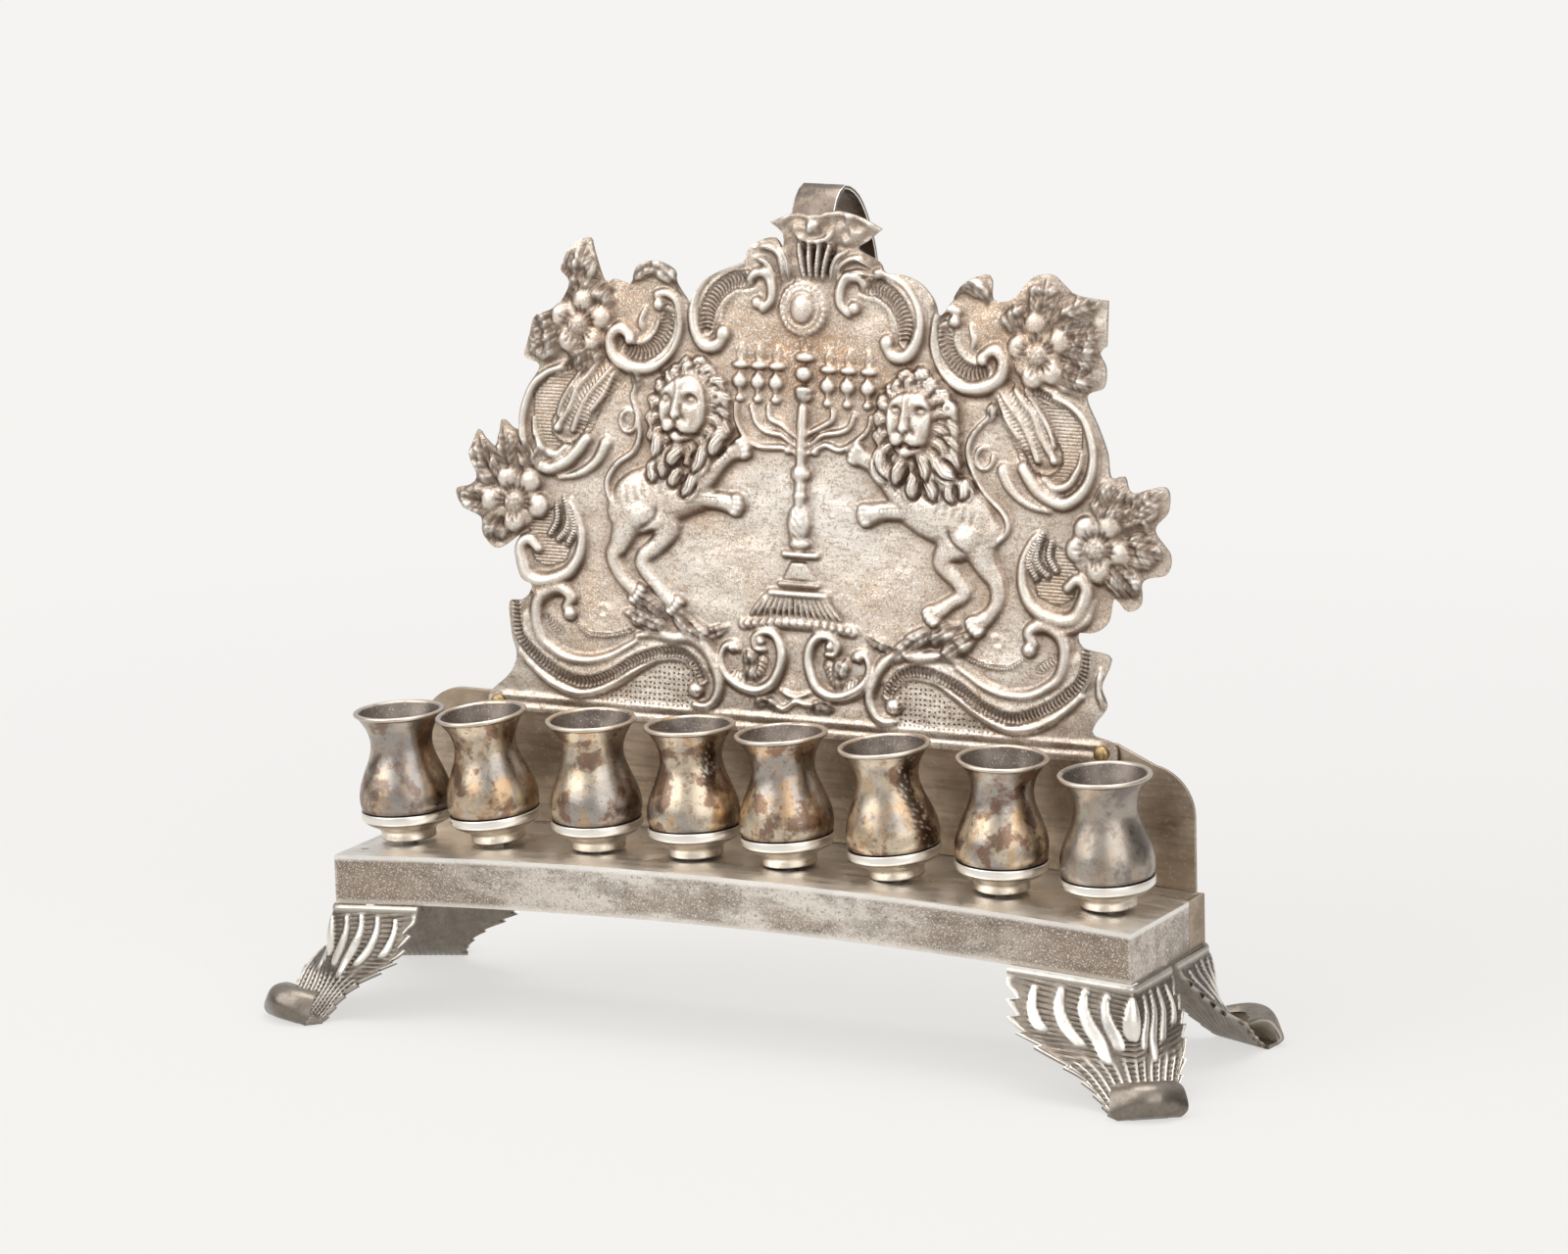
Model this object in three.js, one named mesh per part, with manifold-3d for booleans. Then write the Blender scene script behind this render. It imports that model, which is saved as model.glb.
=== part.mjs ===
// Bench-type hanukkah lamp of sheet silver: an embossed backplate with two lions and a
// menorah, a splash wall, a tray bench on four leaf feet and a row of eight lift-out fonts.
// Millimetres, +Z up, +X along the bench, front towards -Y. Origin under the middle of the lamp.

import * as THREE from "three";
import { mergeVertices } from "three/addons/utils/BufferGeometryUtils.js";
import Module from "manifold-3d";

const wasm = await Module();
wasm.setup();

// Driving dimensions: sheet and clearances
const sheet = 1;
const seatGap = 0.3;
const overrun = 2;

// Driving dimensions: bench and splash wall
const benchLength = 228;
const benchDepth = 45.5;
const benchTop = 41.5;
const benchCamber = 4.2;
const skirtDepth = 13;
const tabLength = 9.5;
const wallRise = 36.9;
const wallShoulderDrop = 4.6;
const wallEndInset = 2;
const wallShoulderRadius = 13;

// Driving dimensions: leaf feet, one spread along the bench and one across its end. No two of
// the hand-bent feet are alike.
const footReach = 16.5;
const footSpreads = { front_left: 26, front_right: 34, rear_left: 30, rear_right: 31 };
const footSpreadEnd = 22;
const toeWidth = 19;
const toeRadius = 4.2;
const footRib = 0.55;
const footCornerRadius = 1.5;
const toeBow = 7;
const toeNose = 4.5;
const footReachShares = { front_left: 0.88, front_right: 1.12, rear_left: 0.95, rear_right: 0.9 };
const footTurnDegrees = { front_left: 66, front_right: 55, rear_left: 68, rear_right: 66 };

// Driving dimensions: fonts and their dishes
const fontCount = 8;
const fontRowInset = 13.2;
const fontRowShift = -2.4;
const fontRowY = -3.6;
const fontStrayShares = [0.03, -0.03, 0, -0.01, -0.07, -0.01, 0.01, 0.04];
const fontSideDegrees = [2.4, 5, 1, 1.5, 2.4, 3.4, -2.4, 0];
const fontFrontDegrees = [1, 4, 2, 0, 1, 3, 2, 2.8];
const fontWall = 0.7;
const fontHeight = 25.4;
const rimClearance = 3.1;
const bellyClearance = 2.2;
const dishClearance = 2.3;
const dishLip = 0.4;
const rimBead = 0.75;
const neckRadius = 8.2;
const dishBand = 2.2;
const dishTop = 7.7;
const dishBowl = 2.6;
const footTubeRadius = 7.1;
const footTubeHeight = 3.6;
const stemRadius = 2;
const stemLength = 8;
const nutWidth = 7;
const nutHeight = 3;
const nutGap = 0.3;
const servantHoleRadius = 1.3;
const servantHoleInset = 4.7;
const servantHoleSetback = 7.95;

// Driving dimensions: backplate, whose shares are of its half width and its rise
const plateEndInset = 14;
const plateRise = 100;
const plateLeanDegrees = 6.9;
const railDrop = 4;
const railBulge = 1.6;
const scrollWidth = 5.4;
const scrollBulge = 3;
const vineWidth = 2;
const vineBulge = 1.3;
const leafWidth = 7;
const leafBulge = 2.2;
const petalReach = 6.7;
const petalLength = 4.2;
const petalWidth = 3.4;
const petalBulge = 3;
const petalCount = 5;
const flowerBossRadius = 3.1;
const flowerBossBulge = 3.6;
const crestBossRadius = 3.5;
const crestBossHeight = 4.2;
const crestRingRadius = 6;
const crestRingBead = 0.9;
const crestShellWidth = 10.8;
const columnWidth = 2.6;
const knopBulge = 2.6;
const menorahFootWidth = 18.2;
const branchBallRadius = 1.8;
const branchCupRadius = 2.3;
const branchCupHeight = 0.9;
const bodyWidth = 13;
const limbWidth = 5;
const limbBulge = 2.6;
const maneBulge = 3.2;
const maneReachX = 9.5;
const maneReachY = 12.5;
const faceBulge = 4.5;
const muzzleBulge = 6;
const lockLength = 3.2;
const lockWidth = 1.8;
const lockCount = 8;

// Driving dimensions: hanging strap and backplate screws
const strapWidth = 12.2;
const strapSheet = 1.1;
const strapBow = 27;
const strapRise = 46;
const strapTop = 137;
const screwHeadRadius = 2.1;
const screwHeadRise = 1.4;
const screwRadius = 1.2;
const screwPlaceShare = 0.873;
const screwDrop = 2.6;
const screwTail = 1.2;
const plateNutWidth = 5;
const plateNutHeight = 1.8;

const roundSides = 12;
const degrees = Math.PI / 180;
const reliefRoot = sheet / 2;
const groundSnap = sheet / 8;

// A closed geometry as a solid that can be joined and cut.
function solidOf(geometry) {
  const bare = geometry.clone();
  bare.deleteAttribute("normal");
  bare.deleteAttribute("uv");
  const merged = mergeVertices(bare);
  const vertProperties = new Float32Array(merged.attributes.position.array);
  const triVerts = new Uint32Array(merged.index.array);
  return new wasm.Manifold(new wasm.Mesh({ numProp: 3, vertProperties, triVerts }));
}

// A solid as an indexed geometry with normals.
function geometryOf(solid) {
  const mesh = solid.getMesh();
  const geometry = new THREE.BufferGeometry();
  const places = [];
  for (let i = 0; i < mesh.numVert; i++)
    places.push(...mesh.vertProperties.slice(i * mesh.numProp, i * mesh.numProp + 3));
  geometry.setAttribute("position", new THREE.Float32BufferAttribute(places, 3));
  geometry.setIndex(new THREE.BufferAttribute(mesh.triVerts, 1));
  geometry.computeVertexNormals();
  return geometry;
}

function join(geometries) {
  return geometries.map(solidOf).reduce((whole, next) => whole.add(next));
}

function cut(solid, geometries) {
  return geometries.map(solidOf).reduce((rest, next) => rest.subtract(next), solid);
}

function smooth(share) {
  const t = Math.min(Math.max(share, 0), 1);
  return t * t * (3 - 2 * t);
}

// The bench rises to its middle: height above a straight bench at a place along it.
function camberAt(x) {
  const share = Math.min(Math.abs(x) / (benchLength / 2), 1);
  return benchCamber * (1 - share * share);
}

function boxBetween(low, high) {
  const size = high.clone().sub(low);
  const box = new THREE.BoxGeometry(size.x, size.y, size.z);
  return box.translate(low.x + size.x / 2, low.y + size.y / 2, low.z + size.z / 2);
}

// An upright slab from y0 to y1 whose side view has a cambered top and bottom edge.
function camberedSlab(halfLength, bottom, top, y0, y1) {
  const steps = 12;
  const side = new THREE.Shape();
  for (let i = 0; i <= steps; i++) {
    const x = halfLength * ((2 * i) / steps - 1);
    if (i === 0) side.moveTo(x, bottom + camberAt(x));
    else side.lineTo(x, bottom + camberAt(x));
  }
  for (let i = steps; i >= 0; i--) {
    const x = halfLength * ((2 * i) / steps - 1);
    side.lineTo(x, top + camberAt(x));
  }
  const slab = new THREE.ExtrudeGeometry(side, { depth: y1 - y0, bevelEnabled: false });
  return slab.rotateX(90 * degrees).translate(0, y1, 0);
}

const plateHalfWidth = benchLength / 2 - plateEndInset;
const fontPitch = (benchLength - 2 * fontRowInset) / (fontCount - 1);
const rimRadius = fontPitch / 2 - rimClearance;
const bellyRadius = fontPitch / 2 - bellyClearance;
const dishRadius = fontPitch / 2 - dishClearance;
const fontBaseRadius = dishRadius - dishLip;
const servantHoleX = servantHoleInset - benchLength / 2;
const servantHoleY = servantHoleSetback - benchDepth / 2;
const skirtBottom = benchTop - skirtDepth;
const wallFront = benchDepth / 2 - sheet;
const trayRear = wallFront - seatGap;
const tabStep = sheet + seatGap;

// Places of the fonts along the bench, each with its lean and its height on the cambered top.
const lights = fontStrayShares.slice(0, fontCount).map((stray, i) => {
  const x = (i - (fontCount - 1) / 2 + stray) * fontPitch + fontRowShift;
  const side = fontSideDegrees[i] * degrees;
  const front = fontFrontDegrees[i] * degrees;
  const slope = Math.atan((2 * benchCamber * x) / (benchLength / 2) ** 2);
  const tilt = Math.hypot(side - slope, front);
  const lift = seatGap + footTubeRadius * Math.sin(tilt);
  return { x, side, front, sinTilt: Math.sin(tilt), z: benchTop + camberAt(x) + lift };
});

// The bench: a tray open below, with a hole for each font's stem and a small spare hole.
function trayGeometry() {
  const block = camberedSlab(benchLength / 2, skirtBottom, benchTop, -benchDepth / 2, trayRear);
  const hollow = camberedSlab(
    benchLength / 2 - tabStep - sheet,
    skirtBottom - overrun,
    benchTop - sheet,
    sheet - benchDepth / 2,
    trayRear - sheet,
  );
  const hollowEnds = camberedSlab(
    benchLength / 2 - sheet,
    skirtBottom - overrun,
    benchTop - sheet,
    sheet - benchDepth / 2,
    benchDepth / 2 - tabLength - seatGap - sheet,
  );
  const notches = [-1, 1].map((end) => {
    const outer = end * (benchLength / 2 + overrun);
    const inner = end * (benchLength / 2 - tabStep);
    return boxBetween(
      new THREE.Vector3(Math.min(outer, inner), benchDepth / 2 - tabLength - seatGap, skirtBottom - overrun),
      new THREE.Vector3(Math.max(outer, inner), benchDepth / 2 + overrun, benchTop + overrun),
    );
  });
  const through = 2 * (sheet + overrun);
  const holes = lights.map((light) => {
    const radius = stemRadius + 2 * seatGap;
    const hole = new THREE.CylinderGeometry(radius, radius, through, roundSides / 2);
    return hole.rotateX(90 * degrees).translate(light.x, fontRowY, benchTop + camberAt(light.x));
  });
  const spare = new THREE.CylinderGeometry(servantHoleRadius, servantHoleRadius, through, roundSides / 2);
  spare.rotateX(90 * degrees).translate(servantHoleX, servantHoleY, benchTop);
  return geometryOf(cut(solidOf(block), [hollow, hollowEnds, ...notches, ...holes, spare]));
}

// Plate frame: x along the plate, y up its slope from the wall's top, z towards the front.
const hangHeight = benchTop + wallRise;
const plateLeanAngle = plateLeanDegrees * degrees;
const plateGroundY = wallFront - seatGap - sheet * Math.cos(plateLeanAngle);
const plateFrame = new THREE.Matrix4()
  .makeTranslation(0, plateGroundY, hangHeight)
  .multiply(new THREE.Matrix4().makeRotationX(90 * degrees - plateLeanAngle));
const screwPlaces = [-1, 1].map((end) => end * screwPlaceShare * plateHalfWidth);

function screwHole(x) {
  const length = 4 * (sheet + overrun);
  const radius = screwRadius + seatGap;
  const hole = new THREE.CylinderGeometry(radius, radius, length, roundSides / 2);
  return hole.rotateX(90 * degrees).translate(x, -screwDrop, 0);
}

// The splash wall: an upright sheet behind the tray, its shoulders rounded and the lower right
// one cut down, with a tab folded round each rear corner of the bench.
function wallGeometry() {
  const half = benchLength / 2;
  const upper = half - wallEndInset;
  const r = wallShoulderRadius;
  const top = hangHeight;
  const rightTop = top - wallShoulderDrop;
  const railEnd = screwPlaces[1] + screwHeadRadius + screwRadius;
  const outline = new THREE.Shape();
  outline.moveTo(half, skirtBottom);
  outline.lineTo(half, benchTop);
  outline.lineTo(upper, benchTop);
  outline.absarc(upper - r, rightTop - r, r, 0, 80 * degrees, false);
  outline.lineTo(railEnd, top);
  outline.absarc(r - upper, top - r, r, 90 * degrees, 180 * degrees, false);
  outline.lineTo(-upper, benchTop);
  outline.lineTo(-half, benchTop);
  outline.lineTo(-half, skirtBottom);
  for (let i = 1; i < roundSides; i++) {
    const x = half * ((2 * i) / roundSides - 1);
    outline.lineTo(x, skirtBottom + camberAt(x));
  }
  const panel = new THREE.ExtrudeGeometry(outline, { depth: sheet, bevelEnabled: false, curveSegments: 8 });
  panel.rotateX(90 * degrees).translate(0, benchDepth / 2, 0);
  const tabs = [-1, 1].map((end) => {
    const outer = end * half;
    const inner = end * (half - sheet);
    return boxBetween(
      new THREE.Vector3(Math.min(outer, inner), benchDepth / 2 - tabLength, skirtBottom),
      new THREE.Vector3(Math.max(outer, inner), benchDepth / 2, benchTop),
    );
  });
  const holes = screwPlaces.map((x) => screwHole(x).applyMatrix4(plateFrame));
  return geometryOf(cut(join([panel, ...tabs]), holes));
}

// A grid of points as a closed sheet of the given thickness, its underside flat on the ground.
function sheetFromGrid(grid, thickness) {
  const rows = grid.length;
  const columns = grid[0].length;
  const at = (i, j) => grid[Math.min(Math.max(i, 0), rows - 1)][Math.min(Math.max(j, 0), columns - 1)];
  const places = [];
  for (const side of [1, -1]) {
    for (let i = 0; i < rows; i++) {
      for (let j = 0; j < columns; j++) {
        const along = at(i + 1, j).clone().sub(at(i - 1, j));
        const across = at(i, j + 1).clone().sub(at(i, j - 1));
        const normal = across.cross(along).normalize();
        const place = at(i, j).clone().addScaledVector(normal, (side * thickness) / 2);
        places.push(place.x, place.y, place.z < groundSnap ? 0 : place.z);
      }
    }
  }
  const index = [];
  const id = (side, i, j) => (side * rows + i) * columns + j;
  const quad = (a, b, c, d) => index.push(a, b, c, a, c, d);
  for (let i = 0; i < rows - 1; i++) {
    for (let j = 0; j < columns - 1; j++) {
      quad(id(0, i, j), id(0, i, j + 1), id(0, i + 1, j + 1), id(0, i + 1, j));
      quad(id(1, i, j), id(1, i + 1, j), id(1, i + 1, j + 1), id(1, i, j + 1));
    }
    quad(id(0, i, 0), id(0, i + 1, 0), id(1, i + 1, 0), id(1, i, 0));
    quad(id(0, i + 1, columns - 1), id(0, i, columns - 1), id(1, i, columns - 1), id(1, i + 1, columns - 1));
  }
  for (let j = 0; j < columns - 1; j++) {
    quad(id(0, 0, j + 1), id(0, 0, j), id(1, 0, j), id(1, 0, j + 1));
    quad(id(0, rows - 1, j), id(0, rows - 1, j + 1), id(1, rows - 1, j + 1), id(1, rows - 1, j));
  }
  const geometry = new THREE.BufferGeometry();
  geometry.setAttribute("position", new THREE.Float32BufferAttribute(places, 3));
  geometry.setIndex(index);
  return geometry;
}

// Ridge of a foot from the bench corner to its ground pad: shares of its reach and height, the
// share of each spread that is left there, how far its halves have turned out, and its notch.
const ridgeShares = [
  [0, 1, 1, 1, 0, 1],
  [0.07, 0.86, 1.01, 0.99, 0.04, 1],
  [0.12, 0.72, 1, 0.96, 0.15, 1],
  [0.14, 0.59, 0.95, 0.87, 0.28, 0.95],
  [0.19, 0.46, 0.76, 0.75, 0.44, 1],
  [0.3, 0.3, 0.5, 0.58, 0.82, 0.95],
  [0.46, 0.18, 0.39, 0.5, 0.94, 1],
  [0.66, 0.075, 0.32, 0.44, 1, 0.95],
];
const toeTurns = [-90, -40, 5, 50, 95, 140];
const toeTaperShares = [0.84, 1, 0.98, 0.9, 0.74, 0.52];
const toeCupShare = 0.32;

// One leaf foot, for the corner on the given end and side: a struck sheet folded round the
// corner that narrows downwards, turns out along the diagonal and rolls up at the toe.
function footGeometry(foot, end, rear) {
  const corner = new THREE.Vector3((end * benchLength) / 2, (rear * benchDepth) / 2, 0);
  const top = skirtBottom - seatGap;
  const outAngle = footTurnDegrees[foot] * degrees;
  const reach = footReach * footReachShares[foot];
  const rows = ridgeShares.map(([out, height, front, side, turned, notch]) => ({
    turned,
    notch,
    reach: out * reach,
    height: Math.max(height * top, sheet / 2),
    front: Math.max(front * footSpreads[foot], toeWidth / 2),
    side: Math.max(side * footSpreadEnd, toeWidth / 2),
    cup: 0,
    nose: 0,
  }));
  const pad = { turned: 1, notch: 1, height: sheet / 2, front: toeWidth / 2, side: toeWidth / 2 };
  rows.push({ ...pad, cup: 0, nose: 0, reach: reach - toeRadius / 2 });
  toeTurns.forEach((turn, i) => {
    rows.push({
      ...pad,
      reach: reach + toeRadius / 2 + toeRadius * Math.cos(turn * degrees),
      height: sheet / 2 + toeRadius * (1 + Math.sin(turn * degrees)),
      front: (toeWidth / 2) * toeTaperShares[i],
      side: (toeWidth / 2) * toeTaperShares[i],
      cup: (toeCupShare * (1 + Math.sin(turn * degrees))) / 2,
      nose: toeNose * smooth(1 + turn / 90),
    });
  });
  const rollReach = reach + toeRadius / 2;
  const rollHeight = sheet / 2 + toeRadius;
  const columns = 9;
  const grid = rows.map((row) => {
    const bow = footCornerRadius + (toeBow - footCornerRadius) * row.turned;
    const frontTurn = 180 * degrees + row.turned * (90 * degrees - outAngle);
    const sideTurn = 90 * degrees - row.turned * outAngle;
    const outward = new THREE.Vector2(Math.cos(-outAngle), Math.sin(-outAngle));
    const line = [];
    for (let j = 0; j < columns; j++) {
      const share = (2 * j) / (columns - 1) - 1;
      const s = share * (share < 0 ? row.front : row.side) * (Math.abs(share) === 1 ? row.notch : 1);
      const toFront = (Math.hypot(s, bow) - s) / 2 - bow / 2;
      const toSide = (Math.hypot(s, bow) + s) / 2 - bow / 2;
      const fade = Math.sin(Math.PI * smooth((top - row.height) / top)) * (1 - Math.abs(share) ** 4);
      const rib = footRib * fade * (j % 2 ? 1 : -1);
      const cup = row.cup * share ** 2;
      const ahead = row.reach + cup * (rollReach - row.reach) - row.nose * share ** 2;
      const ridge = outward.clone().multiplyScalar(ahead);
      const fold = new THREE.Vector2(
        toFront * Math.cos(frontTurn) + toSide * Math.cos(sideTurn),
        toSide * Math.sin(sideTurn) - toFront * Math.sin(frontTurn - 180 * degrees),
      );
      const spot = ridge.add(fold).addScaledVector(outward, rib);
      const place = new THREE.Vector3(corner.x + end * spot.x, corner.y - rear * spot.y, 0);
      const hang = smooth((row.height / top - 0.5) * 2);
      const drop = hang * (camberAt(place.x) - camberAt(corner.x));
      place.z = row.height + cup * (rollHeight - row.height) + drop;
      line.push(place);
    }
    return end * rear < 0 ? line : line.reverse();
  });
  return geometryOf(solidOf(sheetFromGrid(grid, sheet)));
}

const bowlShares = [0.62, 0.78];

// The dish that carries a font: a flat band, a narrowing cup and a foot tube, bowl above and
// stem below, turned about the font's axis with its foot at zero.
function dishGeometry() {
  const bandBottom = dishTop - dishBand;
  const profile = [
    [0, -stemLength],
    [stemRadius, -stemLength],
    [stemRadius, 0],
    [footTubeRadius, 0],
    [footTubeRadius - sheet / 4, footTubeHeight],
    [(footTubeRadius + dishRadius) / 2, (footTubeHeight + bandBottom) / 2 - sheet / 4],
    [dishRadius, bandBottom],
    [dishRadius, dishTop],
    [dishRadius - sheet, dishTop],
    [(dishRadius - sheet) * bowlShares[0], dishTop - dishBowl * bowlShares[1]],
    [0, dishTop - dishBowl],
  ];
  return new THREE.LatheGeometry(profile.map(([r, z]) => new THREE.Vector2(r, z)), roundSides);
}

// Side of a font from its base: how much of the named radius is used, and the share of height.
const fontBellyShares = [0.985, 0.22];
const fontThroatShares = [1.03, 0.79];
const fontHeightShares = { belly: 0.1, waist: 0.43, neck: 0.65 };

// A font: a thin vase with a bulging belly, drawn-in neck and flared rim with a rolled bead.
// Its round bottom drops into the dish.
function fontGeometry() {
  const shoulder = dishTop + seatGap;
  const base = shoulder - dishBowl + sheet / 2;
  const span = fontHeight - seatGap;
  const outline = [
    [fontBaseRadius, 0],
    [bellyRadius, fontHeightShares.belly],
    [bellyRadius * fontBellyShares[0], fontBellyShares[1]],
    [(bellyRadius + neckRadius) / 2, fontHeightShares.waist],
    [neckRadius, fontHeightShares.neck],
    [neckRadius * fontThroatShares[0], fontThroatShares[1]],
    [rimRadius, 1],
  ].map(([r, share]) => new THREE.Vector2(r, shoulder + share * span));
  const curve = new THREE.SplineCurve(outline);
  const side = curve.getPoints(6);
  const rimZ = shoulder + span;
  const inner = curve.getPoints(3).map((p) => new THREE.Vector2(p.x - fontWall, p.y)).reverse();
  inner[0].set(rimRadius - fontWall, rimZ + rimBead);
  inner[inner.length - 1].set(fontBaseRadius - fontWall, shoulder + fontWall);
  const bottomRadius = dishRadius - sheet - 2 * seatGap;
  const profile = [
    new THREE.Vector2(0, base),
    new THREE.Vector2(bottomRadius * bowlShares[0], base + (shoulder - base) * (1 - bowlShares[1])),
    new THREE.Vector2(bottomRadius, shoulder),
    ...side,
    new THREE.Vector2(rimRadius + rimBead, rimZ + rimBead / 2),
    new THREE.Vector2(rimRadius + rimBead / 2, rimZ + (rimBead * 3) / 2),
    ...inner,
    new THREE.Vector2(0, base + fontWall),
  ];
  return new THREE.LatheGeometry(profile, roundSides);
}

function nutCorner(width) {
  return width / 2 / Math.cos(30 * degrees);
}

// A hexagon nut about the Z axis, from zero upwards.
function nutGeometry(width, height, bore) {
  const outline = new THREE.Shape();
  for (let i = 0; i < 6; i++) {
    const turn = (i * 60 + 30) * degrees;
    const r = nutCorner(width);
    if (i === 0) outline.moveTo(r * Math.cos(turn), r * Math.sin(turn));
    else outline.lineTo(r * Math.cos(turn), r * Math.sin(turn));
  }
  const hole = new THREE.Path();
  hole.absarc(0, 0, bore, 0, 360 * degrees, true);
  outline.holes.push(hole);
  return new THREE.ExtrudeGeometry(outline, { depth: height, bevelEnabled: false, curveSegments: 4 });
}

// Outline of the backplate anticlockwise from its lower left lobe, as shares of the plate's
// half width and rise.
const plateOutlineShares = [
  [-0.91, -0.045], [0.915, -0.05], [0.907, 0], [0.845, 0.02], [0.85, 0.05], [0.88, 0.094],
  [0.864, 0.144], [0.885, 0.2], [0.88, 0.225], [0.807, 0.24], [0.795, 0.275], [0.84, 0.28],
  [0.876, 0.31], [0.89, 0.37], [0.93, 0.34], [0.964, 0.36], [0.97, 0.42], [1.03, 0.44],
  [1.04, 0.49], [0.995, 0.55], [1.03, 0.6], [1.02, 0.66], [0.93, 0.64], [0.907, 0.68],
  [0.87, 0.675], [0.857, 0.737], [0.83, 0.8], [0.795, 0.875], [0.84, 0.9], [0.845, 0.95],
  [0.826, 0.987], [0.845, 1.006], [0.845, 1.12], [0.757, 1.13], [0.726, 1.15], [0.69, 1.177],
  [0.65, 1.175], [0.62, 1.156], [0.58, 1.11], [0.526, 1.106], [0.52, 1.156], [0.5, 1.17],
  [0.45, 1.144], [0.42, 1.11], [0.4, 1.07], [0.376, 1.06], [0.357, 1.1], [0.32, 1.137],
  [0.27, 1.156], [0.22, 1.16], [0.2, 1.187], [0.139, 1.218], [0.165, 1.238], [0.205, 1.271],
  [0.148, 1.297], [0.078, 1.312], [0.008, 1.299], [-0.041, 1.303], [-0.076, 1.29], [-0.115, 1.275],
  [-0.075, 1.246],
  [-0.076, 1.21], [-0.099, 1.235], [-0.14, 1.227], [-0.177, 1.2], [-0.186, 1.17], [-0.255, 1.14],
  [-0.3, 1.11], [-0.336, 1.056], [-0.355, 1.07], [-0.38, 1.106], [-0.386, 1.137], [-0.436, 1.16],
  [-0.48, 1.15], [-0.5, 1.13], [-0.517, 1.097], [-0.567, 1.106], [-0.595, 1.1], [-0.627, 1.175],
  [-0.64, 1.21], [-0.674, 1.2], [-0.705, 1.175], [-0.72, 1.125], [-0.69, 1.094], [-0.705, 1.056],
  [-0.74, 1.02], [-0.8, 0.994], [-0.81, 0.95], [-0.824, 0.89], [-0.78, 0.87], [-0.81, 0.81],
  [-0.83, 0.75], [-0.83, 0.7], [-0.855, 0.7], [-0.89, 0.72], [-0.9, 0.65], [-0.94, 0.67],
  [-0.96, 0.69], [-0.98, 0.625], [-0.955, 0.575], [-0.974, 0.544], [-1.02, 0.53], [-1.005, 0.49],
  [-0.94, 0.46], [-0.93, 0.41], [-0.89, 0.38], [-0.824, 0.42], [-0.834, 0.375], [-0.81, 0.31],
  [-0.774, 0.29], [-0.81, 0.25], [-0.85, 0.24], [-0.84, 0.16], [-0.824, 0.11], [-0.83, 0.075],
  [-0.85, 0.044], [-0.9, 0],
];

// Scrolls of one half, mirrored on the other. Each runs from one volute to its other end.
const scrollShares = [
  [[0.23, 0.955], [0.25, 0.99], [0.29, 0.985], [0.285, 0.94], [0.24, 0.945], [0.29, 0.955], [0.335, 1.01],
    [0.315, 1.075], [0.25, 1.13], [0.17, 1.14], [0.12, 1.11], [0.115, 1.06], [0.155, 1.06], [0.15, 1.085]],
  [[0.51, 0.97], [0.555, 0.985], [0.575, 0.94], [0.545, 0.895], [0.48, 0.87], [0.41, 0.895], [0.375, 0.97],
    [0.385, 1.05], [0.42, 1.075], [0.45, 1.05], [0.43, 1.03]],
  [[0.72, 0.9], [0.79, 0.83], [0.825, 0.73], [0.79, 0.62], [0.72, 0.585], [0.64, 0.61], [0.62, 0.68]],
  [[0.74, 0.85], [0.79, 0.7], [0.77, 0.64], [0.71, 0.645], [0.7, 0.67]],
  [[0.58, 0.67], [0.59, 0.61], [0.65, 0.57]],
  [[0.7, 0.52], [0.655, 0.45], [0.66, 0.38], [0.72, 0.315], [0.8, 0.335], [0.825, 0.39], [0.79, 0.42],
    [0.76, 0.4]],
  [[0.69, 0.23], [0.665, 0.26], [0.7, 0.285], [0.75, 0.26], [0.765, 0.2], [0.71, 0.125], [0.6, 0.11],
    [0.48, 0.145], [0.38, 0.17], [0.29, 0.155], [0.225, 0.09], [0.245, 0.03], [0.29, 0.03], [0.29, 0.055]],
  [[0.07, 0.165], [0.105, 0.165], [0.11, 0.195], [0.06, 0.205], [0.03, 0.16], [0.055, 0.09], [0.11, 0.06],
    [0.17, 0.08], [0.2, 0.13], [0.175, 0.165], [0.155, 0.15]],
];

// Plain ridges of one half: arms of the menorah, frame mouldings and crest leaves.
const vineShares = [
  [[0.18, 0.815], [0.195, 0.755], [0.155, 0.7], [0.1, 0.705], [0.04, 0.69]],
  [[0.13, 0.81], [0.14, 0.76], [0.09, 0.725], [0.035, 0.705]],
  [[0.08, 0.81], [0.1, 0.775], [0.067, 0.745], [0.017, 0.725]],
  [[0.82, 0.13], [0.75, 0.06], [0.64, 0.02], [0.52, 0.05], [0.39, 0.11]],
];

// Leaves of one half, each from its root to its tip.
const leafShares = [
  [[0.61, 0.88], [0.67, 0.78], [0.7, 0.7]],
  [[0.69, 1.08], [0.67, 1.14], [0.66, 1.185]],
  [[0.62, 1.05], [0.54, 1.07], [0.5, 1.04]],
  [[0.45, 1.09], [0.43, 1.13], [0.42, 1.15]],
  [[0.74, 1.0], [0.78, 0.96], [0.79, 0.9]],
  [[0.86, 0.62], [0.87, 0.67], [0.87, 0.69]],
  [[0.93, 0.58], [0.96, 0.62], [0.96, 0.66]],
  [[0.92, 0.5], [0.97, 0.51], [1.0, 0.51]],
  [[0.9, 0.45], [0.9, 0.42], [0.89, 0.4]],
  [[0.81, 0.16], [0.82, 0.21], [0.83, 0.235]],
  [[0.08, 1.14], [0.13, 1.195], [0.16, 1.19]],
  [[0.03, 1.14], [0.05, 1.2], [0.1, 1.26], [0.15, 1.268]],
];
const flowerShares = [[0.66, 0.98], [0.843, 0.5]];

function platePoint([across, up], side = 1) {
  return new THREE.Vector2(side * across * plateHalfWidth, up * plateRise);
}

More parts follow.
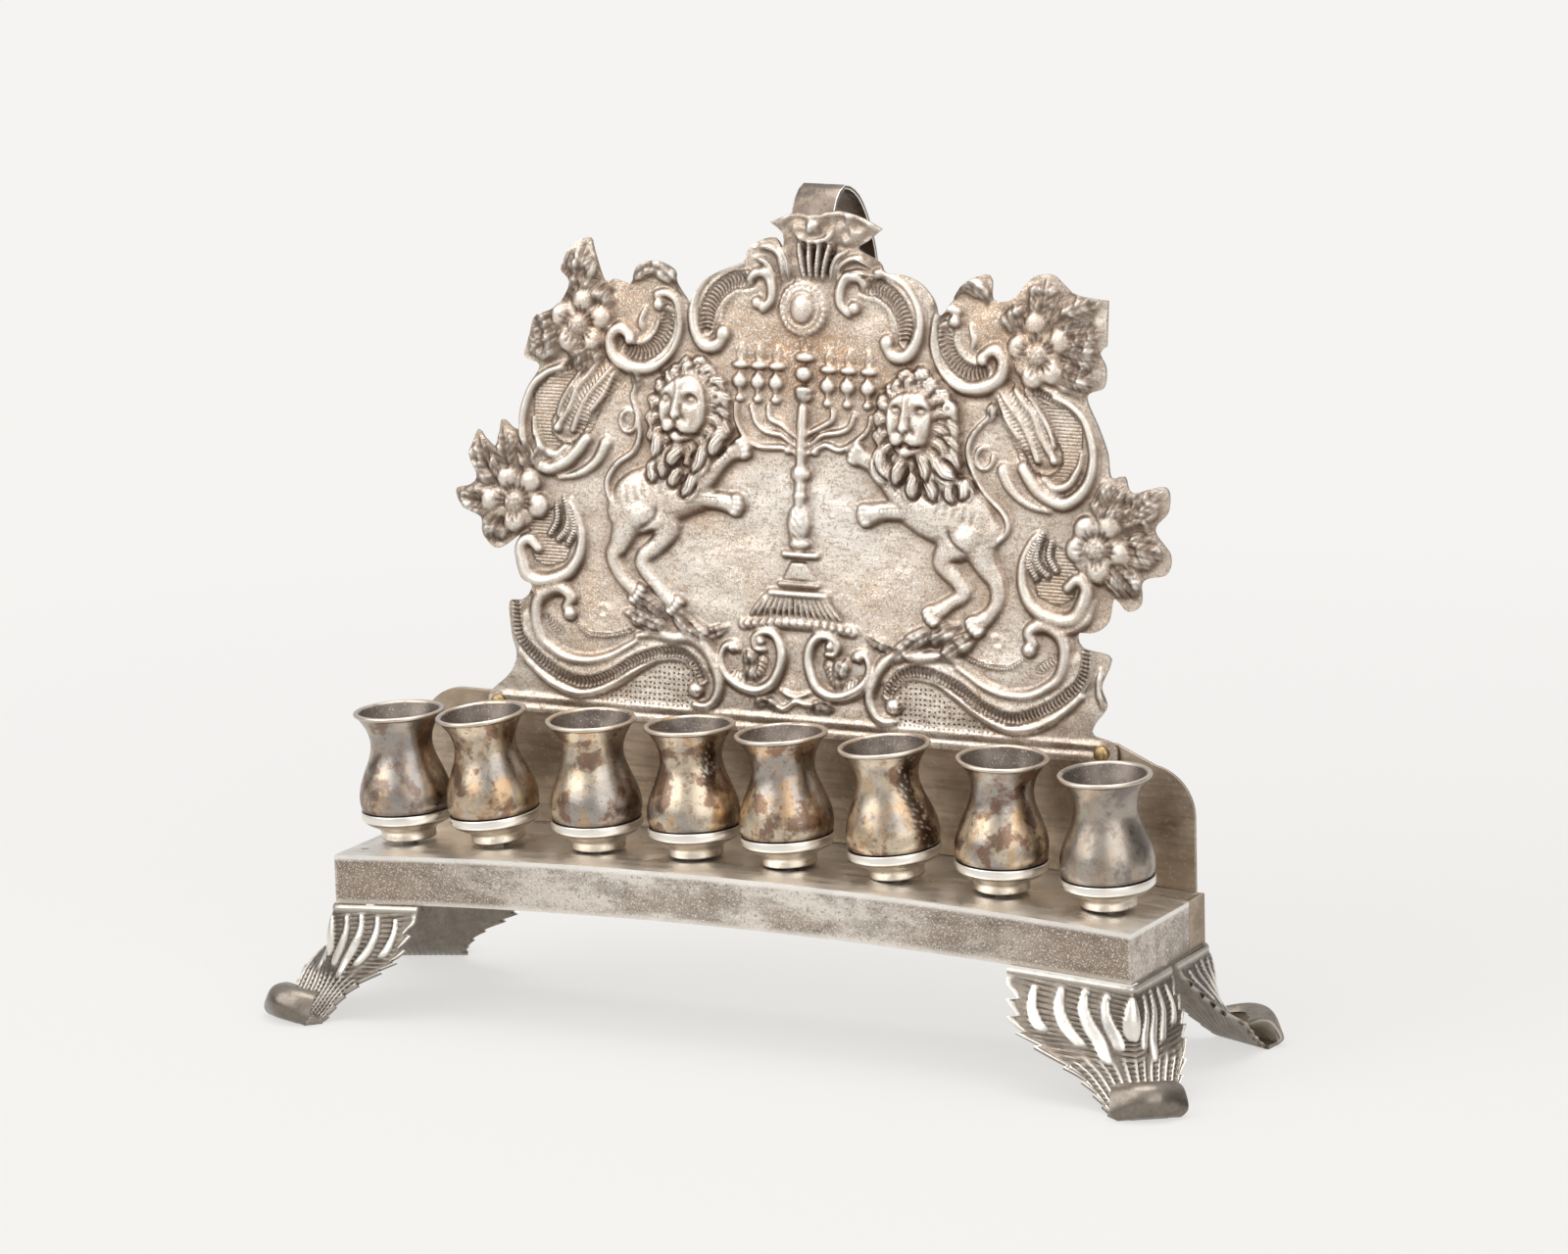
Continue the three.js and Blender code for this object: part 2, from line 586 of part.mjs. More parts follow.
// Radius of the bend of a path around one of its steps.
function bendRadius(path, i, steps) {
  const before = path.getTangentAt(Math.max(i - 0.5, 0) / steps);
  const after = path.getTangentAt(Math.min(i + 0.5, steps) / steps);
  const turn = Math.acos(Math.min(before.dot(after), 1));
  return path.getLength() / steps / Math.max(turn, degrees);
}

const ridgeSectionShares = [[1, 0], [0.6, 0.85], [-0.6, 0.85], [-1, 0]];
const ridgeBendShare = 0.75;

// A rounded ridge along a smooth path on the plate, rooted in the sheet, tapered to both ends
// and no wider than its bends allow.
function ridgeGeometry(points, width, bulge, steps, taper = 0.4) {
  const path = new THREE.SplineCurve(points);
  const places = [];
  for (let i = 0; i <= steps; i++) {
    const middle = path.getPointAt(i / steps);
    const heading = path.getTangentAt(i / steps);
    const fullness = taper + (1 - taper) * Math.sin((Math.PI * i) / steps);
    const half = Math.min((fullness * width) / 2, ridgeBendShare * bendRadius(path, i, steps));
    for (const [across, up] of ridgeSectionShares) {
      const offset = across * half;
      const rise = up > 0 ? up * fullness * bulge : -reliefRoot;
      places.push(middle.x + heading.y * offset, middle.y - heading.x * offset, rise);
    }
  }
  const sides = ridgeSectionShares.length;
  const index = [];
  for (let i = 0; i < steps; i++) {
    for (let j = 0; j < sides; j++) {
      const a = i * sides + j;
      const b = i * sides + ((j + 1) % sides);
      index.push(a, b + sides, b, a, a + sides, b + sides);
    }
  }
  const last = steps * sides;
  for (let j = 1; j < sides - 1; j++) {
    index.push(0, j, j + 1);
    index.push(last, last + j + 1, last + j);
  }
  const geometry = new THREE.BufferGeometry();
  geometry.setAttribute("position", new THREE.Float32BufferAttribute(places, 3));
  geometry.setIndex(index);
  return geometry;
}

// A low dome on the plate's face, rooted in the sheet. Small ones have fewer rings.
function domeGeometry(place, halfLength, halfWidth, bulge, turn = 0, sides = 6, rings = 3) {
  const dome = new THREE.SphereGeometry(1, sides, rings).rotateX(90 * degrees);
  dome.scale(halfLength, halfWidth, bulge).rotateZ(turn).translate(place.x, place.y, 0);
  const places = dome.attributes.position;
  for (let i = 0; i < places.count; i++) {
    if (places.getZ(i) < reliefRoot / 2) places.setZ(i, -reliefRoot);
  }
  return dome;
}

function flowerGeometries(place) {
  const pieces = [domeGeometry(place, flowerBossRadius, flowerBossRadius, flowerBossBulge, 0, 7, 4)];
  for (let i = 0; i < petalCount; i++) {
    const turn = ((i + 0.25) / petalCount) * 360 * degrees;
    const middle = new THREE.Vector2(Math.cos(turn), Math.sin(turn)).multiplyScalar(petalReach).add(place);
    pieces.push(domeGeometry(middle, petalLength, petalWidth, petalBulge, turn));
  }
  return pieces;
}

// Knops of the menorah: place on the plate, half width and half height, as shares.
const knopShares = [
  [0.007, 0.228, 0.148, 0.017],
  [0.004, 0.318, 0.078, 0.014],
  [0.005, 0.42, 0.045, 0.017],
  [0, 0.49, 0.03, 0.055],
  [0, 0.63, 0.03, 0.02],
  [0, 0.83, 0.035, 0.022],
  [0, 0.89, 0.021, 0.021],
  [0, 0.93, 0.03, 0.012],
  [-0.04, 0.69, 0.018, 0.018],
  [0.037, 0.69, 0.018, 0.018],
];
const shaftShares = [[0, 0.33], [0, 0.5], [0, 0.7], [0, 0.96]];
const skirtShares = [[0.005, 0.2], [0.005, 0.27], [0.005, 0.36]];
const branchShares = [-0.19, -0.13, -0.08, 0.067, 0.127, 0.187];
const branchBallShare = 0.86;
const branchCupShare = 0.9;

// The menorah in relief: a stepped foot, a turned shaft and six branches with their lamps.
function menorahGeometries() {
  const pieces = knopShares.map(([x, h, halfWidth, halfHeight]) =>
    domeGeometry(platePoint([x, h]), halfWidth * plateHalfWidth, halfHeight * plateRise, knopBulge),
  );
  const shaft = shaftShares.map((p) => platePoint(p));
  pieces.push(ridgeGeometry(shaft, columnWidth, columnWidth / 2, 6, 0.8));
  const skirt = skirtShares.map((p) => platePoint(p));
  pieces.push(ridgeGeometry(skirt, menorahFootWidth, columnWidth / 2, 4, 0.6));
  for (const across of branchShares) {
    const ball = platePoint([across, branchBallShare]);
    const cup = platePoint([across, branchCupShare]);
    pieces.push(domeGeometry(ball, branchBallRadius, branchBallRadius, knopBulge));
    pieces.push(domeGeometry(cup, branchCupRadius, branchCupHeight, knopBulge));
  }
  return pieces;
}

// A lion in relief, one half's shares: body, hind legs, forelegs and tail as ridges, mane as a
// ring of locks, face as low domes.
const lionBodyShares = [[0.34, 0.56], [0.43, 0.58], [0.49, 0.53], [0.47, 0.47], [0.41, 0.46]];
const lionLimbShares = [
  [[0.4, 0.47], [0.44, 0.41], [0.45, 0.37], [0.4, 0.3]],
  [[0.47, 0.46], [0.53, 0.4], [0.53, 0.35], [0.47, 0.3]],
  [[0.4, 0.55], [0.3, 0.55], [0.19, 0.545]],
  [[0.3, 0.61], [0.24, 0.655], [0.17, 0.69]],
];
const lionTailShares = [[0.53, 0.46], [0.56, 0.53], [0.52, 0.62], [0.47, 0.7], [0.48, 0.78], [0.51, 0.83]];
const budShares = [[[0.5, 0.29], [0.42, 0.24], [0.35, 0.22]], [[0.38, 0.27], [0.3, 0.21], [0.26, 0.17]]];

const lionMiddleShares = [0.328, 0.765];
const lionHeadShares = [
  [0.328, 0.77, 0.115, 0.145, maneBulge],
  [0.328, 0.79, 0.066, 0.09, faceBulge],
  [0.34, 0.755, 0.04, 0.05, muzzleBulge],
];

function lionGeometries(side) {
  const place = (shares) => shares.map((p) => platePoint(p, side));
  const pieces = [ridgeGeometry(place(lionBodyShares), bodyWidth, limbBulge, 6, 0.65)];
  for (const limb of lionLimbShares) pieces.push(ridgeGeometry(place(limb), limbWidth, limbBulge, 3, 0.65));
  pieces.push(ridgeGeometry(place(lionTailShares), vineWidth, vineBulge, 6, 0.7));
  for (const bud of budShares) pieces.push(ridgeGeometry(place(bud), leafWidth, leafBulge, 3, 0.2));
  for (let i = 0; i < lockCount; i++) {
    const turn = ((i + 0.5) / lockCount) * 360 * degrees;
    const out = new THREE.Vector2(maneReachX * Math.cos(turn), maneReachY * Math.sin(turn));
    const middle = out.add(platePoint(lionMiddleShares, side));
    pieces.push(domeGeometry(middle, lockLength, lockWidth, maneBulge, turn));
  }
  for (const [x, h, widthShare, heightShare, bulge] of lionHeadShares) {
    const half = new THREE.Vector2(widthShare * plateHalfWidth, heightShare * plateRise);
    pieces.push(domeGeometry(platePoint([x, h], side), half.x, half.y, bulge, 0, 7, 4));
  }
  return pieces;
}

const scrollStepShare = 0.75;
const crestBossShares = [-0.009, 1.056];
const crestShellShares = [0.03, 1.268];

// The backplate: one struck sheet with its relief, rail and screw holes, in its own frame.
function plateGeometry() {
  const outline = new THREE.Shape(plateOutlineShares.map((p) => platePoint(p)));
  const blank = new THREE.ExtrudeGeometry(outline, { depth: sheet, bevelEnabled: false });
  const pieces = [blank.translate(0, 0, -sheet)];
  for (const side of [-1, 1]) {
    for (const scroll of scrollShares) {
      const points = scroll.map((p) => platePoint(p, side));
      const steps = Math.round(scroll.length * scrollStepShare);
      pieces.push(ridgeGeometry(points, scrollWidth, scrollBulge, steps, 0.6));
    }
    for (const vine of vineShares) {
      const points = vine.map((p) => platePoint(p, side));
      pieces.push(ridgeGeometry(points, vineWidth, vineBulge, vine.length - 1, 0.8));
    }
    for (const leaf of leafShares)
      pieces.push(ridgeGeometry(leaf.map((p) => platePoint(p, side)), leafWidth, leafBulge, 2, 0.2));
    for (const flower of flowerShares) pieces.push(...flowerGeometries(platePoint(flower, side)));
    pieces.push(...lionGeometries(side));
  }
  pieces.push(...menorahGeometries());
  const boss = platePoint(crestBossShares);
  pieces.push(domeGeometry(boss, crestBossRadius, crestBossHeight, scrollBulge, 0, 7, 4));
  const ring = new THREE.TorusGeometry(crestRingRadius, crestRingBead, 4, roundSides);
  const oval = (crestRingRadius + crestBossHeight - crestBossRadius) / crestRingRadius;
  pieces.push(ring.scale(1, oval, 1).translate(boss.x, boss.y, 0));
  const shell = platePoint(crestShellShares);
  pieces.push(domeGeometry(shell, crestShellWidth / 2, crestShellWidth / 3, scrollBulge));
  const railHalf = screwPlaces[1] - screwHeadRadius - 2 * seatGap;
  const railEnds = [-railHalf, railHalf].map((x) => new THREE.Vector2(x, -railDrop / 2));
  pieces.push(ridgeGeometry(railEnds, railDrop, railBulge, 6, 0.9));
  return geometryOf(cut(join(pieces), screwPlaces.map(screwHole)));
}

// Side view of the hanging strap from its front end: shares of its bow and of its rise.
const strapShares = [
  [0, -0.26], [0, -0.17], [-0.06, -0.07], [-0.2, 0], [-0.36, -0.01], [-0.56, -0.07], [-0.8, -0.23],
  [-0.96, -0.42], [-1, -0.62], [-0.85, -0.82], [-0.5, -0.97], [-0.1, -1.04], [-0.02, -1.11],
  [0, -1.18], [0, -1.3],
];

// The hanging strap in the plate frame: a strip that leaves the crest's back, rolls over its
// top and comes down behind in a bow to the plate's back.
function strapGeometry() {
  const back = -sheet - seatGap - strapSheet / 2;
  const points = strapShares.map(
    ([out, down]) => new THREE.Vector3(0, strapTop + down * strapRise, back + out * strapBow),
  );
  const path = new THREE.CatmullRomCurve3(points, false, "centripetal");
  const section = new THREE.Shape();
  section.moveTo(-strapWidth / 2, -strapSheet / 2);
  section.lineTo(strapWidth / 2, -strapSheet / 2);
  section.lineTo(strapWidth / 2, strapSheet / 2);
  section.lineTo(-strapWidth / 2, strapSheet / 2);
  return new THREE.ExtrudeGeometry(section, { steps: 34, extrudePath: path, bevelEnabled: false });
}

const screwHeadShares = [0.85, 0.6];

// A backplate screw in the plate frame: a domed head in front and a shank through plate and wall.
function screwGeometry(length) {
  const profile = [
    [0, -length],
    [screwRadius, -length],
    [screwRadius, seatGap],
    [screwHeadRadius, seatGap],
    [screwHeadRadius * screwHeadShares[0], seatGap + screwHeadRise * screwHeadShares[1]],
    [0, seatGap + screwHeadRise],
  ];
  const points = profile.map(([r, z]) => new THREE.Vector2(r, z));
  return new THREE.LatheGeometry(points, roundSides / 2).rotateX(90 * degrees);
}

const silver = new THREE.MeshStandardMaterial({ color: 0xcfc3b2, roughness: 0.38, metalness: 1 });
const darkSilver = new THREE.MeshStandardMaterial({ color: 0x8c8278, roughness: 0.5, metalness: 1 });
const tarnished = new THREE.MeshStandardMaterial({ color: 0xa8977f, roughness: 0.42, metalness: 1 });

function pieceMesh(name, geometry, material) {
  const mesh = new THREE.Mesh(geometry, material.clone());
  mesh.name = name;
  return mesh;
}

const lamp = new THREE.Group();
lamp.add(pieceMesh("bench_tray", trayGeometry(), silver));
lamp.add(pieceMesh("splash_wall", wallGeometry(), darkSilver));

const corners = [["front_left", -1, -1], ["front_right", 1, -1], ["rear_left", -1, 1], ["rear_right", 1, 1]];
for (const [place, end, rear] of corners)
  lamp.add(pieceMesh("foot_" + place, footGeometry(place, end, rear), darkSilver));

// How far below a light's foot its nut starts, clear of the bench's sheet.
function nutDepth(light) {
  const lift = light.z - benchTop - camberAt(light.x);
  return lift + sheet + seatGap + nutCorner(nutWidth) * light.sinTilt;
}

lights.forEach((light, i) => {
  const stand = new THREE.Group();
  stand.position.set(light.x, fontRowY, light.z);
  stand.rotation.set(light.front, -light.side, 0);
  const turned = (geometry) => geometry.rotateX(90 * degrees);
  stand.add(pieceMesh("font_dish_" + (i + 1), turned(dishGeometry()), silver));
  stand.add(pieceMesh("oil_font_" + (i + 1), turned(fontGeometry()), tarnished));
  const nut = nutGeometry(nutWidth, nutHeight, stemRadius + nutGap);
  nut.translate(0, 0, -nutDepth(light) - nutHeight);
  stand.add(pieceMesh("dish_nut_" + (i + 1), nut, silver));
  lamp.add(stand);
});

const hanging = new THREE.Group();
hanging.applyMatrix4(plateFrame);
hanging.add(pieceMesh("backplate", plateGeometry(), silver));
hanging.add(pieceMesh("hanger_strap", strapGeometry(), darkSilver));
const wallBack = benchDepth / 2 - plateGroundY;
const wallBackDepth = (wallBack + screwDrop * Math.sin(plateLeanAngle)) / Math.cos(plateLeanAngle);
const plateNutTop = wallBackDepth + seatGap + nutCorner(plateNutWidth) * Math.tan(plateLeanAngle);
screwPlaces.forEach((x, i) => {
  const place = ["left", "right"][i];
  const screw = screwGeometry(plateNutTop + plateNutHeight + screwTail);
  hanging.add(pieceMesh("plate_screw_" + place, screw.translate(x, -screwDrop, 0), silver));
  const nut = nutGeometry(plateNutWidth, plateNutHeight, screwRadius + nutGap);
  nut.translate(x, -screwDrop, -plateNutTop - plateNutHeight);
  hanging.add(pieceMesh("plate_nut_" + place, nut, silver));
});
lamp.add(hanging);

// The lamp is moved so that the middle of its footprint box stands over the origin.
lamp.updateMatrixWorld(true);
const reach = new THREE.Box3().setFromObject(lamp);
lamp.position.set(-(reach.min.x + reach.max.x) / 2, -(reach.min.y + reach.max.y) / 2, -reach.min.z);

export default lamp;
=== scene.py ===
import math

import bpy
import numpy as np
from bpy.props import FloatProperty, FloatVectorProperty, PointerProperty
from mathutils import Matrix, Vector, geometry


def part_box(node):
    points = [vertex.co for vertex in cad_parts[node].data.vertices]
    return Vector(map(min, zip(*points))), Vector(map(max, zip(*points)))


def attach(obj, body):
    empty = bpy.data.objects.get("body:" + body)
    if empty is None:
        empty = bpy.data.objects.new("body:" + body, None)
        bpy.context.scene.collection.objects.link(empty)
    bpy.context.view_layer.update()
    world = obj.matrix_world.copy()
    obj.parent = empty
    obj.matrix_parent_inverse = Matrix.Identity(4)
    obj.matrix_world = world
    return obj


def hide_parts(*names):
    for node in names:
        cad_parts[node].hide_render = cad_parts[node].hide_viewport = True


bl_info = {
    "name": "Bench Hanukkah Lamp",
    "version": (1, 0, 0),
    "blender": (4, 5, 0),
    "location": "3D View > Sidebar > Lamp",
    "description": "Dresses a bench hanukkah lamp of embossed sheet silver",
    "category": "Object",
}

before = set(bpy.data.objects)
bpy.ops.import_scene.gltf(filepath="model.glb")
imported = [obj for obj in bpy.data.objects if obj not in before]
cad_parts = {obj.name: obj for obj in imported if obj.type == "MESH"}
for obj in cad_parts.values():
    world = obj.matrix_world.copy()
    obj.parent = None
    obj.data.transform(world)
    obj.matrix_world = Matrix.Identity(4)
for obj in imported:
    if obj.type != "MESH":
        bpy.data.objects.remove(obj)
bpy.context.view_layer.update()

MM = 0.001
IMAGE_WIDTH = 1600

# The lamp's own axes, in millimetres: X along the bench from its middle, Y back, Z up.
BENCH_LENGTH = 228.0
BENCH_DEPTH = 45.5
BENCH_TOP = 41.5
BENCH_CAMBER = 4.2
SKIRT_DEPTH = 13.0
WALL_RISE = 36.9
SHEET = 1.0
GAP = 0.3


def lamp_shift():
    """Where the middle of the bench lies in the shared frame, in millimetres."""
    low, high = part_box("bench_tray")
    return Vector(((low[0] + high[0]) / 2 / MM, low[1] / MM + BENCH_DEPTH / 2, 0.0))


SHIFT = lamp_shift()


def placed(points):
    """Points of the lamp in millimetres as an array in the shared frame, in metres."""
    return (np.asarray(points, float) + np.array(SHIFT)) * MM


# Small helpers for shapes


def smooth_step(share):
    t = np.clip(share, 0.0, 1.0)
    return t * t * (3 - 2 * t)


def camber_at(x):
    share = np.minimum(np.abs(x) / (BENCH_LENGTH / 2), 1.0)
    return BENCH_CAMBER * (1 - share * share)


def curve_point(a, b, c, d, t):
    """The place at the share t of the way from b to c, on a smooth curve through a, b, c and d."""
    bend = 2 * b + (c - a) * t + (2 * a - 5 * b + 4 * c - d) * t**2
    return (bend + (3 * b - a - 3 * c + d) * t**3) / 2


def curve_through(points, count):
    """A smooth curve through points, as count points at even steps along it."""
    p = np.asarray(points, float)
    if len(p) == 2:
        dense = p[0] + (p[1] - p[0]) * np.linspace(0, 1, 40)[:, None]
    else:
        first = 2 * p[0] - p[1]
        last = 2 * p[-1] - p[-2]
        q = np.vstack([first, p, last])
        pieces = []
        t = np.linspace(0, 1, 16, endpoint=False)[:, None]
        for a, b, c, d in zip(q[:-3], q[1:-2], q[2:-1], q[3:]):
            pieces.append(curve_point(a, b, c, d, t))
        dense = np.vstack(pieces + [p[-1:]])
    step = np.linalg.norm(np.diff(dense, axis=0), axis=1)
    along = np.concatenate([[0], np.cumsum(step)])
    wanted = np.linspace(0, along[-1], count)
    return np.stack([np.interp(wanted, along, dense[:, k]) for k in range(p.shape[1])], axis=1)


def path_length(points):
    p = curve_through(points, 60)
    return float(np.linalg.norm(np.diff(p, axis=0), axis=1).sum())


def left_of(way):
    """The direction a quarter turn to the left of a way on the plate."""
    return np.array([-way[1], way[0]])


def inside_outline(x, h, outline):
    """Whether places lie inside an outline."""
    inside = np.zeros(x.shape, bool)
    for (x0, h0), (x1, h1) in zip(outline, np.roll(outline, -1, axis=0)):
        span = h1 - h0 if h1 != h0 else 1e-9
        inside ^= ((h0 > h) != (h1 > h)) & (x < (x1 - x0) * (h - h0) / span + x0)
    return inside


def blurred(field, spread):
    """The field blurred by a bell of the given spread, in cells."""
    reach = max(int(3 * spread), 1)
    bell = np.exp(-0.5 * (np.arange(-reach, reach + 1) / spread) ** 2)
    bell /= bell.sum()
    padded = np.pad(field, reach, mode="edge")
    rows = sum(b * padded[i : i + field.shape[0], :] for i, b in enumerate(bell))
    return sum(b * rows[:, i : i + field.shape[1]] for i, b in enumerate(bell))


def rough_field(shape, spread, seed):
    """A seeded soft random field with values of about one."""
    rng = np.random.default_rng(seed)
    field = blurred(rng.standard_normal(shape), spread)
    return field / field.std()


def linked(name, mesh):
    """A new object with the given mesh, in the scene."""
    piece = bpy.data.objects.new(name, mesh)
    bpy.context.collection.objects.link(piece)
    return piece


def mesh_piece(name, points, faces, smooth_angle):
    """A new closed object from points in metres and faces, shaded smooth, its faces outward."""
    mesh = bpy.data.meshes.new(name)
    mesh.from_pydata([tuple(p) for p in points], [], [tuple(f) for f in faces])
    mesh.update()
    piece = linked(name, mesh)
    only(piece)
    bpy.ops.object.shade_smooth_by_angle(angle=math.radians(smooth_angle))
    bpy.ops.object.mode_set(mode="EDIT")
    bpy.ops.mesh.select_all(action="SELECT")
    bpy.ops.mesh.normals_make_consistent(inside=False)
    bpy.ops.object.mode_set(mode="OBJECT")
    return piece


def only(piece):
    """Makes piece the only selected and the active object."""
    if bpy.context.object and bpy.context.object.mode != "OBJECT":
        bpy.ops.object.mode_set(mode="OBJECT")
    bpy.ops.object.select_all(action="DESELECT")
    piece.select_set(True)
    bpy.context.view_layer.objects.active = piece


def paint(piece, material):
    piece.data.materials.clear()
    piece.data.materials.append(material)


def float_attribute(piece, name, values):
    layer = piece.data.attributes.new(name, "FLOAT", "POINT")
    layer.data.foreach_set("value", np.asarray(values, np.float32))


def stands_for(piece, body, slot_name, *nodes):
    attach(piece, body)
    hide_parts(*nodes)


# The relief of the backplate, drawn on a fine grid in the plate's own millimetres: x along the
# plate from its middle and h up its slope from the top of the splash wall.

PLATE_LEAN = math.radians(6.9)
RELIEF_CELL = 0.25
RELIEF_LOW = (-106.0, -8.0)
RELIEF_HIGH = (108.0, 135.0)
# How much wider a form is than its bright crest.
SHOULDERS = 1.35
PATH_STEP = 0.8
# Where the chased detail is weaker than this the front's mesh is coarse. The back's is coarser.
BUSY_DETAIL = 0.13
BACK_COARSENESS = 2.9
# Where the face of the plate meets the top of the wall, in the lamp's Y.
PLATE_GROUND = BENCH_DEPTH / 2 - SHEET - GAP - SHEET * math.cos(PLATE_LEAN)


class Relief:
    """A struck and chased sheet: raised forms, the cuts in them, and where it is lined or dotted."""

    def __init__(self):
        self.x = np.arange(RELIEF_LOW[0], RELIEF_HIGH[0], RELIEF_CELL)
        self.h = np.arange(RELIEF_LOW[1], RELIEF_HIGH[1], RELIEF_CELL)
        shape = (len(self.h), len(self.x))
        self.form = np.zeros(shape)
        self.cuts = np.zeros(shape)
        self.lined = np.zeros(shape)
        self.phase = np.zeros(shape)
        self.stipple = np.zeros(shape)
        # A dark tone: tarnish on the leaves and towards the plate's sides, and painted shade on the crest's
        # cornice.
        self.leafy = np.zeros(shape)
        self.side = 1

    def mirrored(self, points):
        p = np.array(points, float)
        p[..., 0] *= self.side
        return p

    def path(self, points):
        """The smooth curve through points, on the side that is being drawn."""
        return curve_through(self.mirrored(points), max(int(path_length(points) / PATH_STEP), 6))

    def window(self, low, high):
        """The part of the grid between two corners, with the places of its cells."""
        i0 = max(int((low[1] - self.h[0]) / RELIEF_CELL), 0)
        i1 = min(int((high[1] - self.h[0]) / RELIEF_CELL) + 2, len(self.h))
        j0 = max(int((low[0] - self.x[0]) / RELIEF_CELL), 0)
        j1 = min(int((high[0] - self.x[0]) / RELIEF_CELL) + 2, len(self.x))
        x, h = np.meshgrid(self.x[j0:j1], self.h[i0:i1])
        return (slice(i0, i1), slice(j0, j1)), x, h

    def near(self, path, reach):
        """For the cells near a path: distance from it with a sign, and the share along it."""
        cells, x, _ = self.window(path.min(0) - reach, path.max(0) + reach)
        best = np.full(x.shape, 1e9)
        share = np.zeros(x.shape)
        hand = np.ones(x.shape)
        for i, (a, b) in enumerate(zip(path[:-1], path[1:])):
            part, px, ph = self.window(np.minimum(a, b) - reach, np.maximum(a, b) + reach)
            sub = tuple(slice(s.start - w.start, s.stop - w.start) for s, w in zip(part, cells))
            way = b - a
            t = ((px - a[0]) * way[0] + (ph - a[1]) * way[1]) / max(float(way @ way), 1e-9)
            t = np.clip(t, 0, 1)
            dx = px - a[0] - t * way[0]
            dh = ph - a[1] - t * way[1]
            d = dx * dx + dh * dh
            closer = d < best[sub]
            best[sub] = np.where(closer, d, best[sub])
            share[sub] = np.where(closer, (i + t) / (len(path) - 1), share[sub])
            hand[sub] = np.where(closer, np.sign(way[0] * dh - way[1] * dx), hand[sub])
        return cells, np.sqrt(best), share, hand

    def lay(self, cells, rise, base=0.0, add=False):
        """Raises the sheet. A form that stands higher covers the cuts and lines under it."""
        here = self.form[cells]
        top = here + rise if add else np.maximum(here, rise + base * (rise > 0))
        if not add:
            for layer in (self.cuts, self.lined, self.stipple, self.leafy):
                layer[cells] = np.where(top > here + 0.2, 0, layer[cells])
        self.form[cells] = top

    def ridge(self, points, width, bulge, ends=0.35, power=0.7, base=0.0, add=False, lines=0.0):
        """A rounded ridge along a path. A third value of a point is the width of the bright crest
        there; otherwise the ridge tapers to its ends. Lines is the pitch of fine lines along it."""
        ends = ends if isinstance(ends, tuple) else (ends, ends)
        path = self.path(points)
        share = np.linspace(0, 1, len(path))
        if path.shape[1] == 3:
            wide = SHOULDERS * np.maximum(path[:, 2], 0.3)
        else:
            head = ends[0] + (1 - ends[0]) * smooth_step(share / 0.3)
            wide = width * np.minimum(head, ends[1] + (1 - ends[1]) * smooth_step((1 - share) / 0.3))
        cells, d, t, hand = self.near(path[:, :2], wide.max() / 2 + RELIEF_CELL)
        half = np.interp(t, share, wide) / 2
        rise = bulge * (2 * half / wide.max()) ** 0.6 * np.clip(1 - (d / half) ** 2, 0, 1) ** power
        self.lay(cells, rise, base, add)
        if lines:
            self.rule(cells, d * hand / lines, (d < half) & (self.form[cells] < rise + base + 0.1), 0.6)
        return cells, rise

    def rule(self, cells, phase, where, strength=1.0):
        """Fine chased lines, one where the phase passes a whole number."""
        self.phase[cells] = np.where(where, phase, self.phase[cells])
        self.lined[cells] = np.where(where, strength, self.lined[cells])

    def across(self, points, width, pitch, strength=1.0):
        """Fine lines across a path, over a band of the given width."""
        length = path_length(points)
        cells, d, t, _ = self.near(self.path(points), width / 2 + RELIEF_CELL)
        self.rule(cells, (t * length + 0.35 * d) / pitch, d < width / 2, strength)

    def groove(self, points, width, depth):
        straight = len(points) == 2
        path = curve_through(self.mirrored(points), 2) if straight else self.path(points)
        cells, d, t, _ = self.near(path, width)
        full = smooth_step(np.minimum(t, 1 - t) / 0.15) * 0.7 + 0.3
        cut = depth * full * np.exp(-((d / (width / 2)) ** 2))
        self.cuts[cells] = np.maximum(self.cuts[cells], cut)

    def dome(self, place, half_x, half_h, bulge, turn=0.0, power=0.6, base=0.0, add=False):
        """An oval boss. It rises from base, or is added to what is there."""
        c = self.mirrored(place)
        reach = max(half_x, half_h) + RELIEF_CELL
        cells, x, h = self.window(c - reach, c + reach)
        a = math.radians(turn * self.side)
        u = (x - c[0]) * math.cos(a) + (h - c[1]) * math.sin(a)
        v = (h - c[1]) * math.cos(a) - (x - c[0]) * math.sin(a)
        rise = bulge * np.clip(1 - (u / half_x) ** 2 - (v / half_h) ** 2, 0, 1) ** power
        self.lay(cells, rise, base, add)

    def pit(self, place, radius, depth):
        c = self.mirrored(place)
        cells, x, h = self.window(c - 2 * radius, c + 2 * radius)
        cut = depth * np.exp(-((x - c[0]) ** 2 + (h - c[1]) ** 2) / radius**2)
        self.cuts[cells] = np.maximum(self.cuts[cells], cut)

    def ring(self, place, half_x, half_h, width, bulge, base=0.0):
        turn = np.linspace(0, 2 * math.pi, 40)
        loop = np.array(place) + np.stack([half_x * np.cos(turn), half_h * np.sin(turn)], 1)
        self.ridge(loop, width, bulge, ends=1.0, base=base)

    def beads(self, points, spacing, radius, bulge, base=0.0):
        count = max(int(round(path_length(points) / spacing)), 1) + 1
        for p in curve_through(points, count):
            self.dome(p, radius, radius, bulge, base=base)

